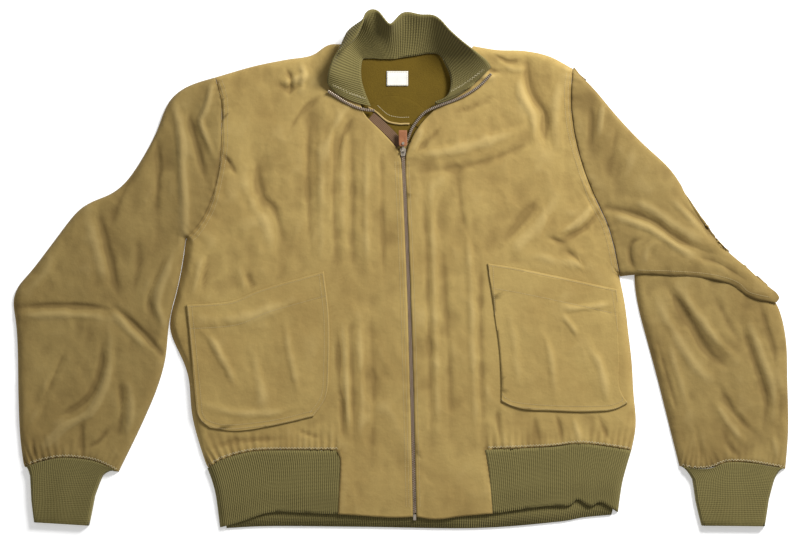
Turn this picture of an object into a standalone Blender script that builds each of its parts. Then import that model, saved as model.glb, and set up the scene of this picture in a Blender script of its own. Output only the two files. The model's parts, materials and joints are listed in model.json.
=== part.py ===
# A zip-fronted jacket with knitted collar, cuffs and waistband, laid flat on its back.
# Tables are in millimetres on the floor plane: x runs to the wearer's left, y towards the collar,
# z up from the floor. The wearer's right is therefore on the left of a view from above.
import math

import bmesh
import bpy
import numpy as np

MM = 0.001                # metres in a millimetre

# Driving dimensions
CLOTH = 3.0               # cotton shell with its wool lining
KNIT = 3.2                # doubled rib knit
POCKET_CLOTH = 1.2        # single cotton, hemmed
LINING = 1.0
SEAM = 0.3                # between neighbouring pieces
CROWN = 9.9               # top of the front above the floor
HEM_TOP = 7.6             # top of the front at the hem
HEM_REACH = 34.0          # how far up from the hem the front comes down to it
ROLL = 12.0               # width of the round edge at the sides and shoulders
TUCK = 8.5                # how far the back lies inside that edge
RIB_PITCH = 6.6           # one raised rib for two of the knit's
RIB_RISE = 0.45           # half a rib's height
ZIP_HALF_SLOT = 2.6       # from the zip's middle to the front's edge
ROLL_ROWS = (0.0, 1.6, 6.0, 12.0)


def column(table, name):
    return [row[name] for row in table]


# The jacket's edges as seen from above, each a short run of (x, y)
RIGHT = {
    "shoulder": [(-84, 338), (-111, 338), (-129, 324), (-171, 316), (-216, 307), (-279, 289)],
    "armhole": [(-279, 289), (-269, 255), (-269, 219), (-270, 177), (-285, 103), (-305, 64), (-323, 46)],
    "side": [(-323, 46), (-328, 8), (-338, -40), (-349, -88), (-336, -119), (-322, -146), (-314, -220),
             (-305, -254), (-291, -297)],
    "band_seam": [(-291, -297), (-271, -285), (-248, -277), (-218, -271), (-179, -270), (-92, -270)],
    "knit_join": [(-92, -270), (-91, -290), (-93, -322), (-95, -366)],
    "hem": [(-95, -366), (-63, -368), (9, -371), (17.4, -370)],
    "band_side": [(-291, -297), (-284, -315), (-278, -339), (-272, -386)],
    "band_hem": [(-272, -386), (-237, -376), (-195, -363), (-141, -364), (-95, -366)],
    "neck": [(0, 172), (-10, 187), (-24, 202), (-40, 218), (-57, 233), (-63, 262), (-70, 290), (-76, 318),
             (-84, 338)],
}
LEFT = {
    "shoulder": [(108, 336), (145, 330), (182, 329), (221, 321), (257, 302)],
    "armhole": [(257, 302), (253, 265), (259, 203), (285, 118), (310, 66), (323, 12), (327, -10)],
    "side": [(327, -10), (336, -54), (340, -90), (346, -141), (348, -183), (352, -237), (345, -271)],
    "band_seam": [(345, -271), (333, -268), (299, -263), (264, -260), (221, -265), (126, -269)],
    "knit_join": [(126, -269), (131, -297), (134, -331), (137, -365)],
    "hem": [(137, -365), (82, -370), (36, -375), (22.6, -370)],
    "band_side": [(345, -271), (338, -294), (331, -321), (325, -363)],
    "band_hem": [(325, -363), (299, -348), (283, -354), (264, -344), (250, -353), (212, -354), (137, -365)],
    "neck": [(5, 172), (13, 190), (20, 207), (32, 222), (45, 236), (62, 250), (84, 266), (90, 290), (94, 312),
             (108, 336)],
}
ZIP_LINE = [(2.5, 172), (10, 0), (16, -195), (20, -364)]

RIGHT_SLEEVE = {
    "outer": [(-279, 289), (-329, 272), (-346, 258), (-366, 209), (-382, 178), (-430, 116), (-477, 97),
              (-511, 56), (-554, -1), (-583, -37), (-578, -76), (-574, -202), (-572, -250), (-566, -296)],
    "free_inner": [(-354, -135), (-365, -174), (-385, -222), (-424, -303)],
    "cuff_seam": [(-566, -296), (-541, -287), (-510, -281), (-477, -283), (-452, -289), (-424, -303)],
}
LEFT_SLEEVE = {
    "outer": [(257, 302), (278, 285), (320, 235), (359, 193), (409, 146), (439, 88), (476, 39), (521, 1),
              (548, -24), (561, -33)],
    "elbow": [(561, -33), (566, -41), (561, -50)],
    "lower": [(327, -10), (350, -7), (412, -9), (452, -12), (479, -17), (501, -25), (519, -40), (561, -50)],
    "hidden": [(350, 20), (420, 17), (490, 2), (541, -29)],
    "fore_outer": [(541, -29), (560, -44), (568, -62), (577, -103), (579, -163), (580, -252), (576, -298)],
    "fore_inner": [(350, 20), (349, -13), (354, -50), (366, -97), (384, -163), (399, -223), (417, -294)],
    "cuff_seam": [(417, -294), (440, -298), (464, -297), (488, -288), (524, -289), (576, -298)],
}

# The largest folds of the upper layer: soft ridges where rise is above nought, troughs where it is below
BODY_FOLDS = [
    {"reach": 20, "rise": 2.6, "line": [(-344, 255), (-332, 216), (-327, 144), (-326, 70)]},
    {"reach": 20, "rise": -2.6, "line": [(-317, 250), (-306, 180), (-294, 130)]},
    {"reach": 14, "rise": 2.4, "line": [(-288, 270), (-297, 225), (-280, 168)]},
    {"reach": 18, "rise": -2.2, "line": [(-368, 190), (-364, 150), (-367, 90)]},
    {"reach": 20, "rise": -2.4, "line": [(-454, 90), (-440, 32), (-424, -38)]},
    {"reach": 20, "rise": 2.2, "line": [(-478, 60), (-466, 10), (-450, -35)]},
    {"reach": 18, "rise": -2.6, "line": [(-560, -52), (-478, -52), (-434, -56), (-390, -92)]},
    {"reach": 20, "rise": 2.6, "line": [(-556, -76), (-478, -76), (-440, -82), (-398, -118)]},
    {"reach": 22, "rise": 2.4, "line": [(-436, -110), (-440, -152), (-468, -214), (-505, -236), (-540, -262)]},
    {"reach": 18, "rise": -2.0, "line": [(-422, -164), (-419, -207), (-430, -255)]},
    {"reach": 18, "rise": -2.4, "line": [(-500, -120), (-520, -180), (-545, -225)]},
    {"reach": 26, "rise": -2.0, "line": [(-218, 165), (-209, 112), (-178, 45)]},
    {"reach": 26, "rise": 1.6, "line": [(-245, 120), (-238, 70), (-212, 20)]},
    {"reach": 22, "rise": 1.8, "line": [(-190, 286), (-137, 290)]},
    {"reach": 20, "rise": -1.6, "line": [(-137, 235), (-140, 120), (-134, 30)]},
    {"reach": 18, "rise": 1.6, "line": [(-112, 215), (-108, 120), (-106, 35)]},
    {"reach": 18, "rise": -1.5, "line": [(-80, 205), (-82, 110), (-76, 20)]},
    {"reach": 16, "rise": 1.5, "line": [(-50, 190), (-48, 100), (-46, 0)]},
    {"reach": 20, "rise": 2.2, "line": [(-78, -60), (-72, -170), (-70, -250)]},
    {"reach": 16, "rise": -1.8, "line": [(-44, -70), (-42, -170), (-44, -290)]},
    {"reach": 22, "rise": -2.4, "line": [(189, 305), (193, 270), (214, 235), (216, 190)]},
    {"reach": 24, "rise": 1.6, "line": [(40, 170), (110, 180), (178, 208)]},
    {"reach": 36, "rise": -2.2, "line": [(148, 38), (208, 112)]},
    {"reach": 20, "rise": 2.6, "line": [(236, 52), (266, 73), (286, 98)]},
    {"reach": 22, "rise": 1.6, "line": [(90, 110), (120, 60), (170, 30)]},
    {"reach": 20, "rise": -1.6, "line": [(74, 30), (78, -110), (80, -240)]},
    {"reach": 20, "rise": 1.8, "line": [(104, 20), (106, -110), (110, -250)]},
    {"reach": 20, "rise": -2.8, "line": [(300, 98), (340, 88), (378, 73), (412, 47), (460, 26)]},
    {"reach": 20, "rise": 2.6, "line": [(322, 72), (362, 60), (392, 40), (430, 12)]},
    {"reach": 20, "rise": -2.4, "line": [(284, 246), (283, 190)]},
    {"reach": 18, "rise": 2.2, "line": [(308, 238), (300, 195)]},
    {"reach": 16, "rise": -2.0, "line": [(358, 46), (343, 36), (345, 12)]},
    {"reach": 20, "rise": -1.8, "line": [(420, 99), (442, 79), (472, 44)]},
]
FOREARM_FOLDS = [
    {"reach": 20, "rise": -2.8, "line": [(396, -30), (426, -68), (458, -122), (488, -146)]},
    {"reach": 20, "rise": 2.4, "line": [(424, -38), (452, -78), (484, -112), (510, -150)]},
    {"reach": 18, "rise": -2.2, "line": [(508, -76), (530, -140), (545, -194), (543, -240)]},
    {"reach": 18, "rise": 2.2, "line": [(540, -60), (552, -120), (560, -180)]},
    {"reach": 20, "rise": -2.2, "line": [(470, -175), (500, -216), (530, -246)]},
    {"reach": 20, "rise": 2.0, "line": [(440, -170), (462, -215), (480, -262)]},
    {"reach": 18, "rise": 1.8, "line": [(384, -90), (402, -150), (420, -215)]},
]
GATHER_RISE = 1.1         # height of the gathers where cloth is sewn to knit
ZIP_CALM = 30.0           # folds die out this far from the zip

# The upper arm lies on the forearm: how high, and where it comes down again
FOREARM_TOP = 10.0
ARM_LIFT = 5.2
LIFT_FROM_EDGE = (44.0, 86.0)
LIFT_FROM_ARMPIT = (334.0, 354.0)

# Patch pockets, each edge from above
POCKET_RIGHT = {
    "top": [(-322, -52), (-282, -50), (-251, -46), (-219, -32), (-191, -23), (-116, -2)],
    "outer": [(-306, -216), (-312, -151), (-322, -52)],
    "inner": [(-131, -219), (-112, -190), (-108, -140), (-108, -70), (-116, -2)],
    "bottom": [(-306, -216), (-296, -231), (-261, -240), (-191, -233), (-131, -219)],
}
POCKET_LEFT = {
    "top": [(129, 10), (168, 4), (204, -3), (242, -11), (283, -20), (323, -29)],
    "outer": [(339, -199), (339, -150), (332, -90), (323, -29)],
    "inner": [(150, -197), (139, -178), (135, -120), (132, -60), (129, 10)],
    "bottom": [(150, -197), (170, -206), (224, -211), (289, -212), (321, -209), (339, -199)],
}
POCKET_LIFT = 0.7         # pocket above the front
POCKET_COLUMNS = 13
POCKET_ROWS = 12
POCKET_FOLDS = [
    {"reach": 22, "rise": 1.6, "line": [(-300, -75), (-230, -70), (-150, -40)]},
    {"reach": 26, "rise": 1.5, "line": [(-270, -130), (-220, -180)]},
    {"reach": 24, "rise": 1.3, "line": [(-170, -110), (-150, -190)]},
    {"reach": 22, "rise": 1.6, "line": [(246, -75), (300, -78)]},
    {"reach": 26, "rise": 1.5, "line": [(200, -80), (225, -140), (232, -190)]},
    {"reach": 22, "rise": 1.3, "line": [(290, -120), (305, -180)]},
]

# Collar, a row for each station from the right end of the zip round the back to the left end.
# The middle surface of the knit passes through foot, waist and rim.
COLLAR = [
    {"foot": (-46, 245.5, 12.2), "waist": (-79, 255, 12.6), "rim": (-107.5, 272.5, 14)},
    {"foot": (-53, 262, 12.2), "waist": (-84, 272, 14.5), "rim": (-111, 281, 20)},
    {"foot": (-59, 283, 12.2), "waist": (-88, 291, 19), "rim": (-107, 297, 32)},
    {"foot": (-60, 303, 10.5), "waist": (-87, 315, 20), "rim": (-97, 319, 40)},
    {"foot": (-57, 316, 7.2), "waist": (-84, 337, 19), "rim": (-83, 330, 43)},
    {"foot": (-48, 317, 6.4), "waist": (-76, 354, 20), "rim": (-67, 346, 45)},
    {"foot": (-40, 317, 6.4), "waist": (-60, 360, 22), "rim": (-57, 366, 44)},
    {"foot": (-32, 316, 6.4), "waist": (-43, 354, 20), "rim": (-50, 384, 40)},
    {"foot": (-24, 316, 6.4), "waist": (-31, 350, 18), "rim": (-37, 386, 37)},
    {"foot": (-12, 316, 6.4), "waist": (-16, 345, 19), "rim": (-17, 365, 41)},
    {"foot": (2, 318, 6.4), "waist": (4, 350, 18), "rim": (4, 383, 36)},
    {"foot": (22, 321, 6.4), "waist": (26, 350, 18), "rim": (28, 380, 36)},
    {"foot": (40, 324, 6.4), "waist": (46, 351, 19), "rim": (51, 377, 38)},
    {"foot": (56, 322, 7.4), "waist": (66, 342, 22), "rim": (72, 355, 42)},
    {"foot": (66, 306, 9.6), "waist": (84, 328, 25), "rim": (91, 338, 43)},
    {"foot": (73, 288, 12), "waist": (98, 306, 25), "rim": (112, 323, 40)},
    {"foot": (73, 270, 12.4), "waist": (104, 289, 19), "rim": (127, 312, 32)},
    {"foot": (66, 257, 12.4), "waist": (100, 275, 14.5), "rim": (134, 303, 21)},
    {"foot": (50, 250, 12.4), "waist": (88.5, 264.8, 12.8), "rim": (129.5, 298, 15)},
]
COLLAR_ROWS = 4

# Cuffs: left and right ends of each section, from the sleeve to the wrist
CUFF_RIGHT = [
    {"start": (-563, -298.5), "end": (-426.5, -304)},
    {"start": (-557, -322), "end": (-447, -321)},
    {"start": (-555, -352), "end": (-459, -345)},
    {"start": (-551, -378), "end": (-468, -383)},
]
CUFF_LEFT = [
    {"start": (421, -300.5), "end": (573, -300.5)},
    {"start": (436, -326), "end": (560, -326)},
    {"start": (441, -352), "end": (551, -352)},
    {"start": (450, -383), "end": (545, -384)},
]
CUFF_HEIGHT = 9.2
CUFF_ROLL = 5.5
CUFF_RIBS_PER_SPAN = 2    # raised ribs between two points of the plain inside
CUFF_SPANS = 9

BACK_BAND_SEAM = [(-281, -289), (-179, -276), (28, -274), (264, -268), (335, -272)]
BACK_BAND_HEM = [(-262, -387), (-195, -384), (-62, -385), (110, -387), (230, -378), (273, -371), (314, -367)]
BACK_BAND_SPANS = 12
BACK_NECK = [(108, 336), (60, 330), (0, 326), (-60, 328), (-84, 338)]

# What shows in the neck
LINING_EDGE = [(-30, 196), (34, 196), (58, 218), (80, 246), (86, 290), (84, 322), (0, 323), (-68, 323),
               (-70, 290), (-64, 246)]
FLAP_PIPED_EDGE = [(-50, 244), (-38, 237), (-21, 223), (-4, 219), (11, 219), (26, 214)]
FLAP_TOP_EDGE = [(36, 236), (10, 257), (-30, 258)]
LABEL_SIZE = (32.0, 22.0, 0.5)
LABEL_PLACE = (-6.0, 287.0)

# Zip
TAPE_HALF_WIDTH = 11.0
TAPE = 0.9
CHAIN_HALF_WIDTH = 2.2
CHAIN_RISE = 3.0
OPEN_CHAIN = {"width": 4.6, "height": 2.2}
OPEN_TAPE = {"width": 13.0, "height": 0.7}
ZIP_LEFT_PATH = [(4.2, 186, 8.6), (10.6, 198, 8.6), (16, 211.5, 8.6), (26, 226, 9.2), (37, 236.8, 11.8),
                 (57, 246, 12.4), (81, 254.6, 12.4), (102, 265, 12.6), (119, 277, 13.2), (134, 293, 15)]
ZIP_RIGHT_PATH = [(-41, 238.4, 12.2), (-56.6, 240.2, 12.2), (-73.8, 246, 12.2), (-87, 253, 12.6),
                  (-99.6, 261, 13), (-109, 267, 14)]
TAPE_RIGHT_PATH = [(-2, 187, 6.25), (-11, 199, 6.25), (-26, 214, 6.25), (-45, 231, 6.25)]
SLIDER_PLACE = (2.6, 176.5)
SLIDER_PLATE = {"length": 12.0, "head": 9.0, "foot": 5.6, "bottom": 10.3, "top": 11.5, "corner": 1.2}
SLIDER_EAR = {"thick": 1.1, "apart": 3.4, "length": 3.6, "top": 14.5}
HINGE_Y = 178.0
HINGE_Z = 13.2
PIN_RADIUS = 0.55
LINK = {"thick": 2.6, "eye": 1.35, "hole": 0.9, "length": 9.0, "height": 1.2}
LEATHER = {"width": 12.5, "from_hinge": 7.2, "length": 24.0, "thick": 1.9}
RIVET = {"radius": 2.1, "rise": 0.9, "from_hinge": 11.5}
BOX_END = {"width": 4.4, "length": 9.0, "height": 3.4}
ROUND_SIDES = 16

# Cells of the plans: a front from the side to the zip, its lower end between knit and zip, the sleeves
SIDE_CELLS = 13
ARMHOLE_CELLS = 9
SEAM_CELLS = 10
PLACKET_CELLS = 4
PLACKET_ROWS = 4
ZIP_CELLS = 15
BAND_SIDE_CELLS = 6
BESIDE_BODY_CELLS = 5     # of the side, where the right sleeve lies against the body
FREE_INNER_CELLS = 12     # from there to the cuff
SLEEVE_CELLS = 7          # across a sleeve between its round edges
USUAL_WIDTH = 150.0       # of a sleeve
RIGHT_ROWS = FREE_INNER_CELLS + BESIDE_BODY_CELLS + ARMHOLE_CELLS + len(ROLL_ROWS) - 1
LEFT_ROWS = 17
FOREARM_ROWS = 14
GATHER_ROWS = 2           # over which the gathers above the knit fade out
SEAM_LEVEL = -268.0       # y of the knit's seam beside the zip


def smooth_line(points, fractions):
    """Points at the given shares of the length of a smooth line through a few points."""
    points = np.array(points, float)
    steps = np.linalg.norm(np.diff(points, axis=0), axis=1)
    stations = np.concatenate(([0.0], np.cumsum(steps)))
    slopes = np.gradient(points, stations, axis=0)
    fine = np.linspace(0.0, stations[-1], 40 * len(points))
    spans = np.clip(np.searchsorted(stations, fine, side="right") - 1, 0, len(points) - 2)
    width = (stations[spans + 1] - stations[spans])[:, None]
    share = (fine[:, None] - stations[spans][:, None]) / width
    curve = (points[spans] * (2 * share**3 - 3 * share**2 + 1)
             + slopes[spans] * width * (share**3 - 2 * share**2 + share)
             + points[spans + 1] * (3 * share**2 - 2 * share**3)
             + slopes[spans + 1] * width * (share**3 - share**2))
    return along(curve, fractions)


def along(line, fractions):
    """Points at the given shares of the length of a line of straight runs."""
    line = np.asarray(line, float)
    steps = np.linalg.norm(np.diff(line[:, :2], axis=0), axis=1)
    stations = np.concatenate(([0.0], np.cumsum(steps)))
    wanted = np.asarray(fractions) * stations[-1]
    return np.stack([np.interp(wanted, stations, line[:, axis]) for axis in range(line.shape[1])], axis=1)


def length_of(line):
    line = np.asarray(line, float)
    return float(np.linalg.norm(np.diff(line, axis=0), axis=1).sum())


def even(count):
    return np.linspace(0.0, 1.0, count + 1)


def with_rolls(length, count, at_start=False, at_end=False):
    """Shares of a length with extra ones close together where the sheet rolls over an edge."""
    start = list(ROLL_ROWS) if at_start else [0.0]
    end = [length - row for row in reversed(ROLL_ROWS)] if at_end else [length]
    middle = np.linspace(start[-1], end[0], count + 1)[1:-1]
    return np.array(start + list(middle) + end) / length


def chain(*lines):
    """Lines end to end, with each shared point kept once."""
    joined = list(lines[0])
    for line in lines[1:]:
        joined += list(line[1:])
    return np.array(joined)


def left_normals(line):
    """For each point of a line, the unit vector to the left of the way the line runs."""
    line = np.asarray(line, float)
    run = np.gradient(line[:, :2], axis=0)
    run /= np.linalg.norm(run, axis=1)[:, None]
    return np.stack([-run[:, 1], run[:, 0]], axis=1)


def shifted(line, distance):
    """The line moved to its left."""
    moved = np.array(line, float)
    moved[:, :2] += left_normals(line) * distance
    return moved


def patch(outer, inner, bottom, top):
    """A grid of plan points inside four edges. Rows run from bottom to top, columns from outer to inner."""
    def shares(line):
        steps = np.linalg.norm(np.diff(line, axis=0), axis=1)
        return np.concatenate(([0.0], np.cumsum(steps))) / steps.sum()

    up = ((shares(outer) + shares(inner)) / 2)[:, None, None]
    across = ((shares(bottom) + shares(top)) / 2)[None, :, None]
    between_sides = outer[:, None] * (1 - across) + inner[:, None] * across
    between_ends = bottom[None, :] * (1 - up) + top[None, :] * up
    corners = ((outer[0] * (1 - across) + inner[0] * across) * (1 - up)
               + (outer[-1] * (1 - across) + inner[-1] * across) * up)
    return between_sides + between_ends - corners


def ruled(outer, inner, across, bottom):
    """A grid of plan points on straight rows from outer to inner, with the bottom row's curve fading out."""
    rows = len(outer)
    grid = outer[:, None] * (1 - across)[None, :, None] + inner[:, None] * across[None, :, None]
    fade = (1 - np.arange(rows) / (rows - 1))[:, None, None] ** 3
    return grid + (bottom - grid[0])[None] * fade


def with_gathers(grid, rows, rise):
    """Plan points with a third value: how far each is raised by gathers, which fade out over some rows."""
    raised = np.zeros(grid.shape[:2] + (1,))
    ways = np.array([1.0 if number % 2 else -1.0 for number in range(grid.shape[1])])
    for row in range(rows):
        raised[row, 2:-2, 0] = ways[2:-2] * rise * (1.0 - row / rows)
    return np.concatenate([grid, raised], axis=2)


def plain(grid):
    return np.concatenate([grid, np.zeros(grid.shape[:2] + (1,))], axis=2)


def nearest_on(lines, point):
    """Distance to the nearest of some lines, and the way from it into the piece on its left."""
    best_distance, best_way = math.inf, np.array([0.0, 0.0])
    for line in lines:
        starts, ends = line[:-1, :2], line[1:, :2]
        runs = ends - starts
        share = np.clip(((point - starts) * runs).sum(axis=1) / (runs**2).sum(axis=1), 0.0, 1.0)
        feet = starts + runs * share[:, None]
        gaps = np.linalg.norm(point - feet, axis=1)
        number = int(gaps.argmin())
        if gaps[number] < best_distance:
            best_distance = float(gaps[number])
            best_way = left_normals(line)[number + int(round(share[number]))]
            if best_distance > SEAM:
                best_way = (point - feet[number]) / best_distance
    return best_distance, best_way


def eased(value, low, high):
    """0 below low, 1 above high, and smooth between."""
    share = min(max((value - low) / (high - low), 0.0), 1.0)
    return share * share * (3.0 - 2.0 * share)


def fold_rise(folds, point):
    total = 0.0
    for fold in folds:
        distance, _ = nearest_on([np.array(fold["line"], float)], point)
        if distance < fold["reach"]:
            total += fold["rise"] * math.cos(math.pi / 2 * distance / fold["reach"]) ** 2
    return total


def body_top(point):
    """Height of the upper layer over the body and arms."""
    from_zip, _ = nearest_on([np.array(ZIP_LINE, float)], point)
    hems = [np.array(edges[name], float) for edges in (RIGHT, LEFT) for name in ("hem", "band_hem")]
    from_hem, _ = nearest_on(hems, point)
    calm = eased(from_zip, 4.0, ZIP_CALM) * eased(from_hem, 0.0, HEM_REACH)
    drop = (CROWN - HEM_TOP) * (1.0 - eased(from_hem, 0.0, HEM_REACH))
    return CROWN - drop + fold_rise(BODY_FOLDS, point) * calm


def forearm_top(point):
    from_upper_arm, _ = nearest_on([np.array(LEFT_SLEEVE["lower"], float)], point)
    hidden_side = point[1] > np.interp(point[0], [350, 412, 501, 561], [-7, -9, -25, -50])
    calm = 0.0 if hidden_side else eased(from_upper_arm, 4.0, 26.0)
    return FOREARM_TOP - 0.4 + fold_rise(FOREARM_FOLDS, point) * calm


def on_forearm(point):
    """1 where the upper arm lies on the forearm, 0 where it lies on its own back."""
    from_edge, _ = nearest_on([np.array(LEFT_SLEEVE["lower"], float)], point)
    return (1.0 - eased(from_edge, *LIFT_FROM_EDGE)) * eased(point[0], *LIFT_FROM_ARMPIT)


def upper_arm_top(point):
    return body_top(point) + ARM_LIFT * on_forearm(point)


def upper_arm_base(point):
    """Height at which the upper arm's round edge ends."""
    return (FOREARM_TOP + 0.5) * on_forearm(point)


def forearm_base(point):
    """The forearm's hidden end lies on the underside of the upper arm."""
    edge = np.interp(point[0], [350, 412, 501, 561], [-7, -9, -25, -50])
    return (CLOTH + 2 * SEAM) * eased(point[1] - edge, -16.0, -8.0)


def floor_base(point):
    return 0.0


def material(name, colour, roughness, metallic=0.0):
    made = bpy.data.materials.new(name)
    made.use_nodes = True
    shader = made.node_tree.nodes["Principled BSDF"]
    shader.inputs["Base Color"].default_value = (*colour, 1.0)
    shader.inputs["Roughness"].default_value = roughness
    shader.inputs["Metallic"].default_value = metallic
    return made


def add_solid(name, points, faces, finish):
    """An object from points in millimetres, with its faces turned outwards."""
    mesh = bpy.data.meshes.new(name)
    mesh.from_pydata([tuple(value * MM for value in point) for point in points], [], faces)
    shape = bmesh.new()
    shape.from_mesh(mesh)
    bmesh.ops.recalc_face_normals(shape, faces=shape.faces)
    shape.to_mesh(mesh)
    shape.free()
    mesh.shade_smooth()
    mesh.set_sharp_from_angle(angle=math.radians(50))
    mesh.materials.append(finish)
    made = bpy.data.objects.new(name, mesh)
    bpy.context.scene.collection.objects.link(made)
    return made


def weld(patches):
    """Plan points and cells of some patches, with the points that they share kept once."""
    points, cells, seen = [], [], {}
    for grid in patches:
        numbers = np.empty(grid.shape[:2], int)
        for place in np.ndindex(*grid.shape[:2]):
            key = tuple(np.round(grid[place][:2], 2))
            if key not in seen:
                seen[key] = len(points)
                points.append(grid[place])
            numbers[place] = seen[key]
        for row in range(grid.shape[0] - 1):
            for number in range(grid.shape[1] - 1):
                cells.append((numbers[row, number], numbers[row, number + 1],
                              numbers[row + 1, number + 1], numbers[row + 1, number]))
    return points, cells


def open_edges(cells):
    """Edges that only one cell has, in that cell's own direction."""
    once = {}
    for cell in cells:
        for start, end in zip(cell, cell[1:] + cell[:1]):
            if (end, start) in once:
                del once[(end, start)]
            else:
                once[(start, end)] = True
    return list(once)


def roll_angle(distance, width):
    return math.acos(1.0 - min(max(distance / width, 0.0), 1.0))


def shell_points(point, extra, rolled, top, base, wall):
    """Outer and inner point of a sheet that rolls over to its base along some lines."""
    distance, way = nearest_on(rolled, point) if rolled else (math.inf, np.zeros(2))
    angle = roll_angle(distance, ROLL)
    low = base(point)
    rise, lean = math.sin(angle), math.cos(angle)
    high = top(point) + extra
    outer = (*point, low + (high - low) * rise)
    inner_plan = point + way * wall * lean
    inner = (*inner_plan, low + (high - wall - low) * rise)
    return outer, inner


def add_shell(name, patches, rolled, finish, top=body_top, base=floor_base, wall=CLOTH):
    """A sheet of cloth of even thickness over plan patches."""
    plan, cells = weld(patches)
    pairs = [shell_points(point[:2], point[2], rolled, top, base, wall) for point in plan]
    count = len(plan)
    points = [pair[0] for pair in pairs] + [pair[1] for pair in pairs]
    faces = [tuple(cell) for cell in cells]
    faces += [tuple(number + count for number in reversed(cell)) for cell in cells]
    faces += [(end, start, start + count, end + count) for start, end in open_edges(cells)]
    return add_solid(name, points, faces, finish)


def left_distance(line, point):
    """Distance from a line, below nought on its right, and always above it past the line's ends."""
    distance, _ = nearest_on([line], point)
    starts, runs = line[:-1], np.diff(line, axis=0)
    share = np.clip(((point - starts) * runs).sum(axis=1) / (runs**2).sum(axis=1), 0.0, 1.0)
    number = int(np.linalg.norm(point - starts - runs * share[:, None], axis=1).argmin())
    if (number == 0 and share[0] == 0.0) or (number == len(share) - 1 and share[-1] == 1.0):
        return distance
    away = point - starts[number]
    return distance if runs[number][0] * away[1] - runs[number][1] * away[0] > 0 else -distance


def clear_run(line, inset, others):
    """A line moved inwards, without the ends that come nearer to other edges than their own insets."""
    steps = np.linalg.norm(np.diff(line, axis=0), axis=1)
    corners = np.concatenate(([0.0], np.cumsum(steps))) / steps.sum()
    shares = np.union1d(corners, np.linspace(0.0, 1.0, 300))
    moved = shifted(along(line, corners), inset)
    dense = along(np.array([[np.interp(share, corners, moved[:, axis]) for axis in (0, 1)]
                            for share in shares]), even(len(shares) - 1))
    kept = [number for number, point in enumerate(dense)
            if all(left_distance(other, point) >= other_inset - MM for other, other_inset in others)]
    first, last = kept[0] / (len(shares) - 1), kept[-1] / (len(shares) - 1)
    steps = np.linalg.norm(np.diff(moved, axis=0), axis=1)
    corners = np.concatenate(([0.0], np.cumsum(steps))) / steps.sum()
    inside = [share for share in corners if first < share < last]
    return along(moved, [first] + inside + [last])


def add_flat_piece(name, edges, bottom, top, finish):
    """A flat sheet inside edges that run counter-clockwise, each given with its inset."""
    lines = [(np.asarray(line, float)[:, :2], inset) for line, inset in edges]
    outline = []
    for number, (line, inset) in enumerate(lines):
        beside = [lines[number - 1], lines[(number + 1) % len(lines)]]
        outline += list(clear_run(line, inset, beside))
    count = len(outline)
    solid = [(*point, bottom) for point in outline] + [(*point, top) for point in outline]
    faces = [tuple(reversed(range(count))), tuple(range(count, 2 * count))]
    faces += [(number, (number + 1) % count, (number + 1) % count + count, number + count)
              for number in range(count)]
    return add_solid(name, solid, faces, finish)


def add_ribbed_wall(name, outer, inner, marks, finish, closed=False):
    """A wall with fine points outside and few inside.

    outer and inner are lists of stations. marks gives, for each inner point, the outer point over it.
    """
    fine, coarse, stations = len(outer[0]), len(inner[0]), len(outer)
    points = [point for station in outer for point in station]
    offset = len(points)
    points += [point for station in inner for point in station]

    def outside(station, number):
        return station * fine + number % fine

    def inside(station, number):
        return offset + station * coarse + number % coarse

    fine_runs = fine if closed else fine - 1
    coarse_runs = coarse if closed else coarse - 1
    faces = []
    for station in range(stations - 1):
        for number in range(fine_runs):
            faces.append((outside(station, number), outside(station, number + 1),
                          outside(station + 1, number + 1), outside(station + 1, number)))
        for number in range(coarse_runs):
            faces.append((inside(station, number), inside(station + 1, number),
                          inside(station + 1, number + 1), inside(station, number + 1)))
        if not closed:
            for number, mark in ((0, 0), (coarse - 1, fine - 1)):
                faces.append((outside(station, mark), outside(station + 1, mark),
                              inside(station + 1, number), inside(station, number)))
    ends = list(marks) + [fine] if closed else list(marks)
    for station in (0, stations - 1):
        for number in range(coarse_runs):
            rim = [outside(station, mark) for mark in range(ends[number], ends[number + 1] + 1)]
            faces.append(tuple(rim + [inside(station, number + 1), inside(station, number)]))
    return add_solid(name, points, faces, finish)


def add_strip(name, path, width, height, finish, count):
    """A flat-sided strip of the given width and height round a path in space."""
    line = smooth_line([row[:2] for row in path], even(count))
    levels = np.interp(even(count), along_shares(path), [row[2] for row in path])
    sides = left_normals(line) * width / 2
    points = []
    for place, side, level in zip(line, sides, levels):
        points += [(*(place - side), level - height / 2), (*(place + side), level - height / 2),
                   (*(place + side), level + height / 2), (*(place - side), level + height / 2)]
    return add_rings(name, points, 4, finish)


def along_shares(path):
    plan = np.array([row[:2] for row in path], float)
    steps = np.linalg.norm(np.diff(plan, axis=0), axis=1)
    return np.concatenate(([0.0], np.cumsum(steps))) / steps.sum()


def add_rings(name, points, sides, finish):
    """A solid through rings of equal numbers of points, closed at both ends."""
    rings = len(points) // sides
    faces = [tuple(reversed(range(sides))), tuple((rings - 1) * sides + side for side in range(sides))]
    for ring in range(rings - 1):
        for side in range(sides):
            here, there = ring * sides + side, ring * sides + (side + 1) % sides
            faces.append((here, there, there + sides, here + sides))
    return add_solid(name, points, faces, finish)


def add_plate(name, outline, bottom, top, finish):
    """An upright prism on a plan outline."""
    points = [(*point, level) for level in (bottom, top) for point in outline]
    return add_rings(name, points, len(outline), finish)


def circle(centre, radius, sides=ROUND_SIDES):
    angles = [2 * math.pi * side / sides for side in range(sides)]
    return [(centre[0] + radius * math.cos(angle), centre[1] + radius * math.sin(angle)) for angle in angles]


def parent_to(child, parent):
    child.parent = parent
    child.matrix_parent_inverse = parent.matrix_world.inverted()


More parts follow.
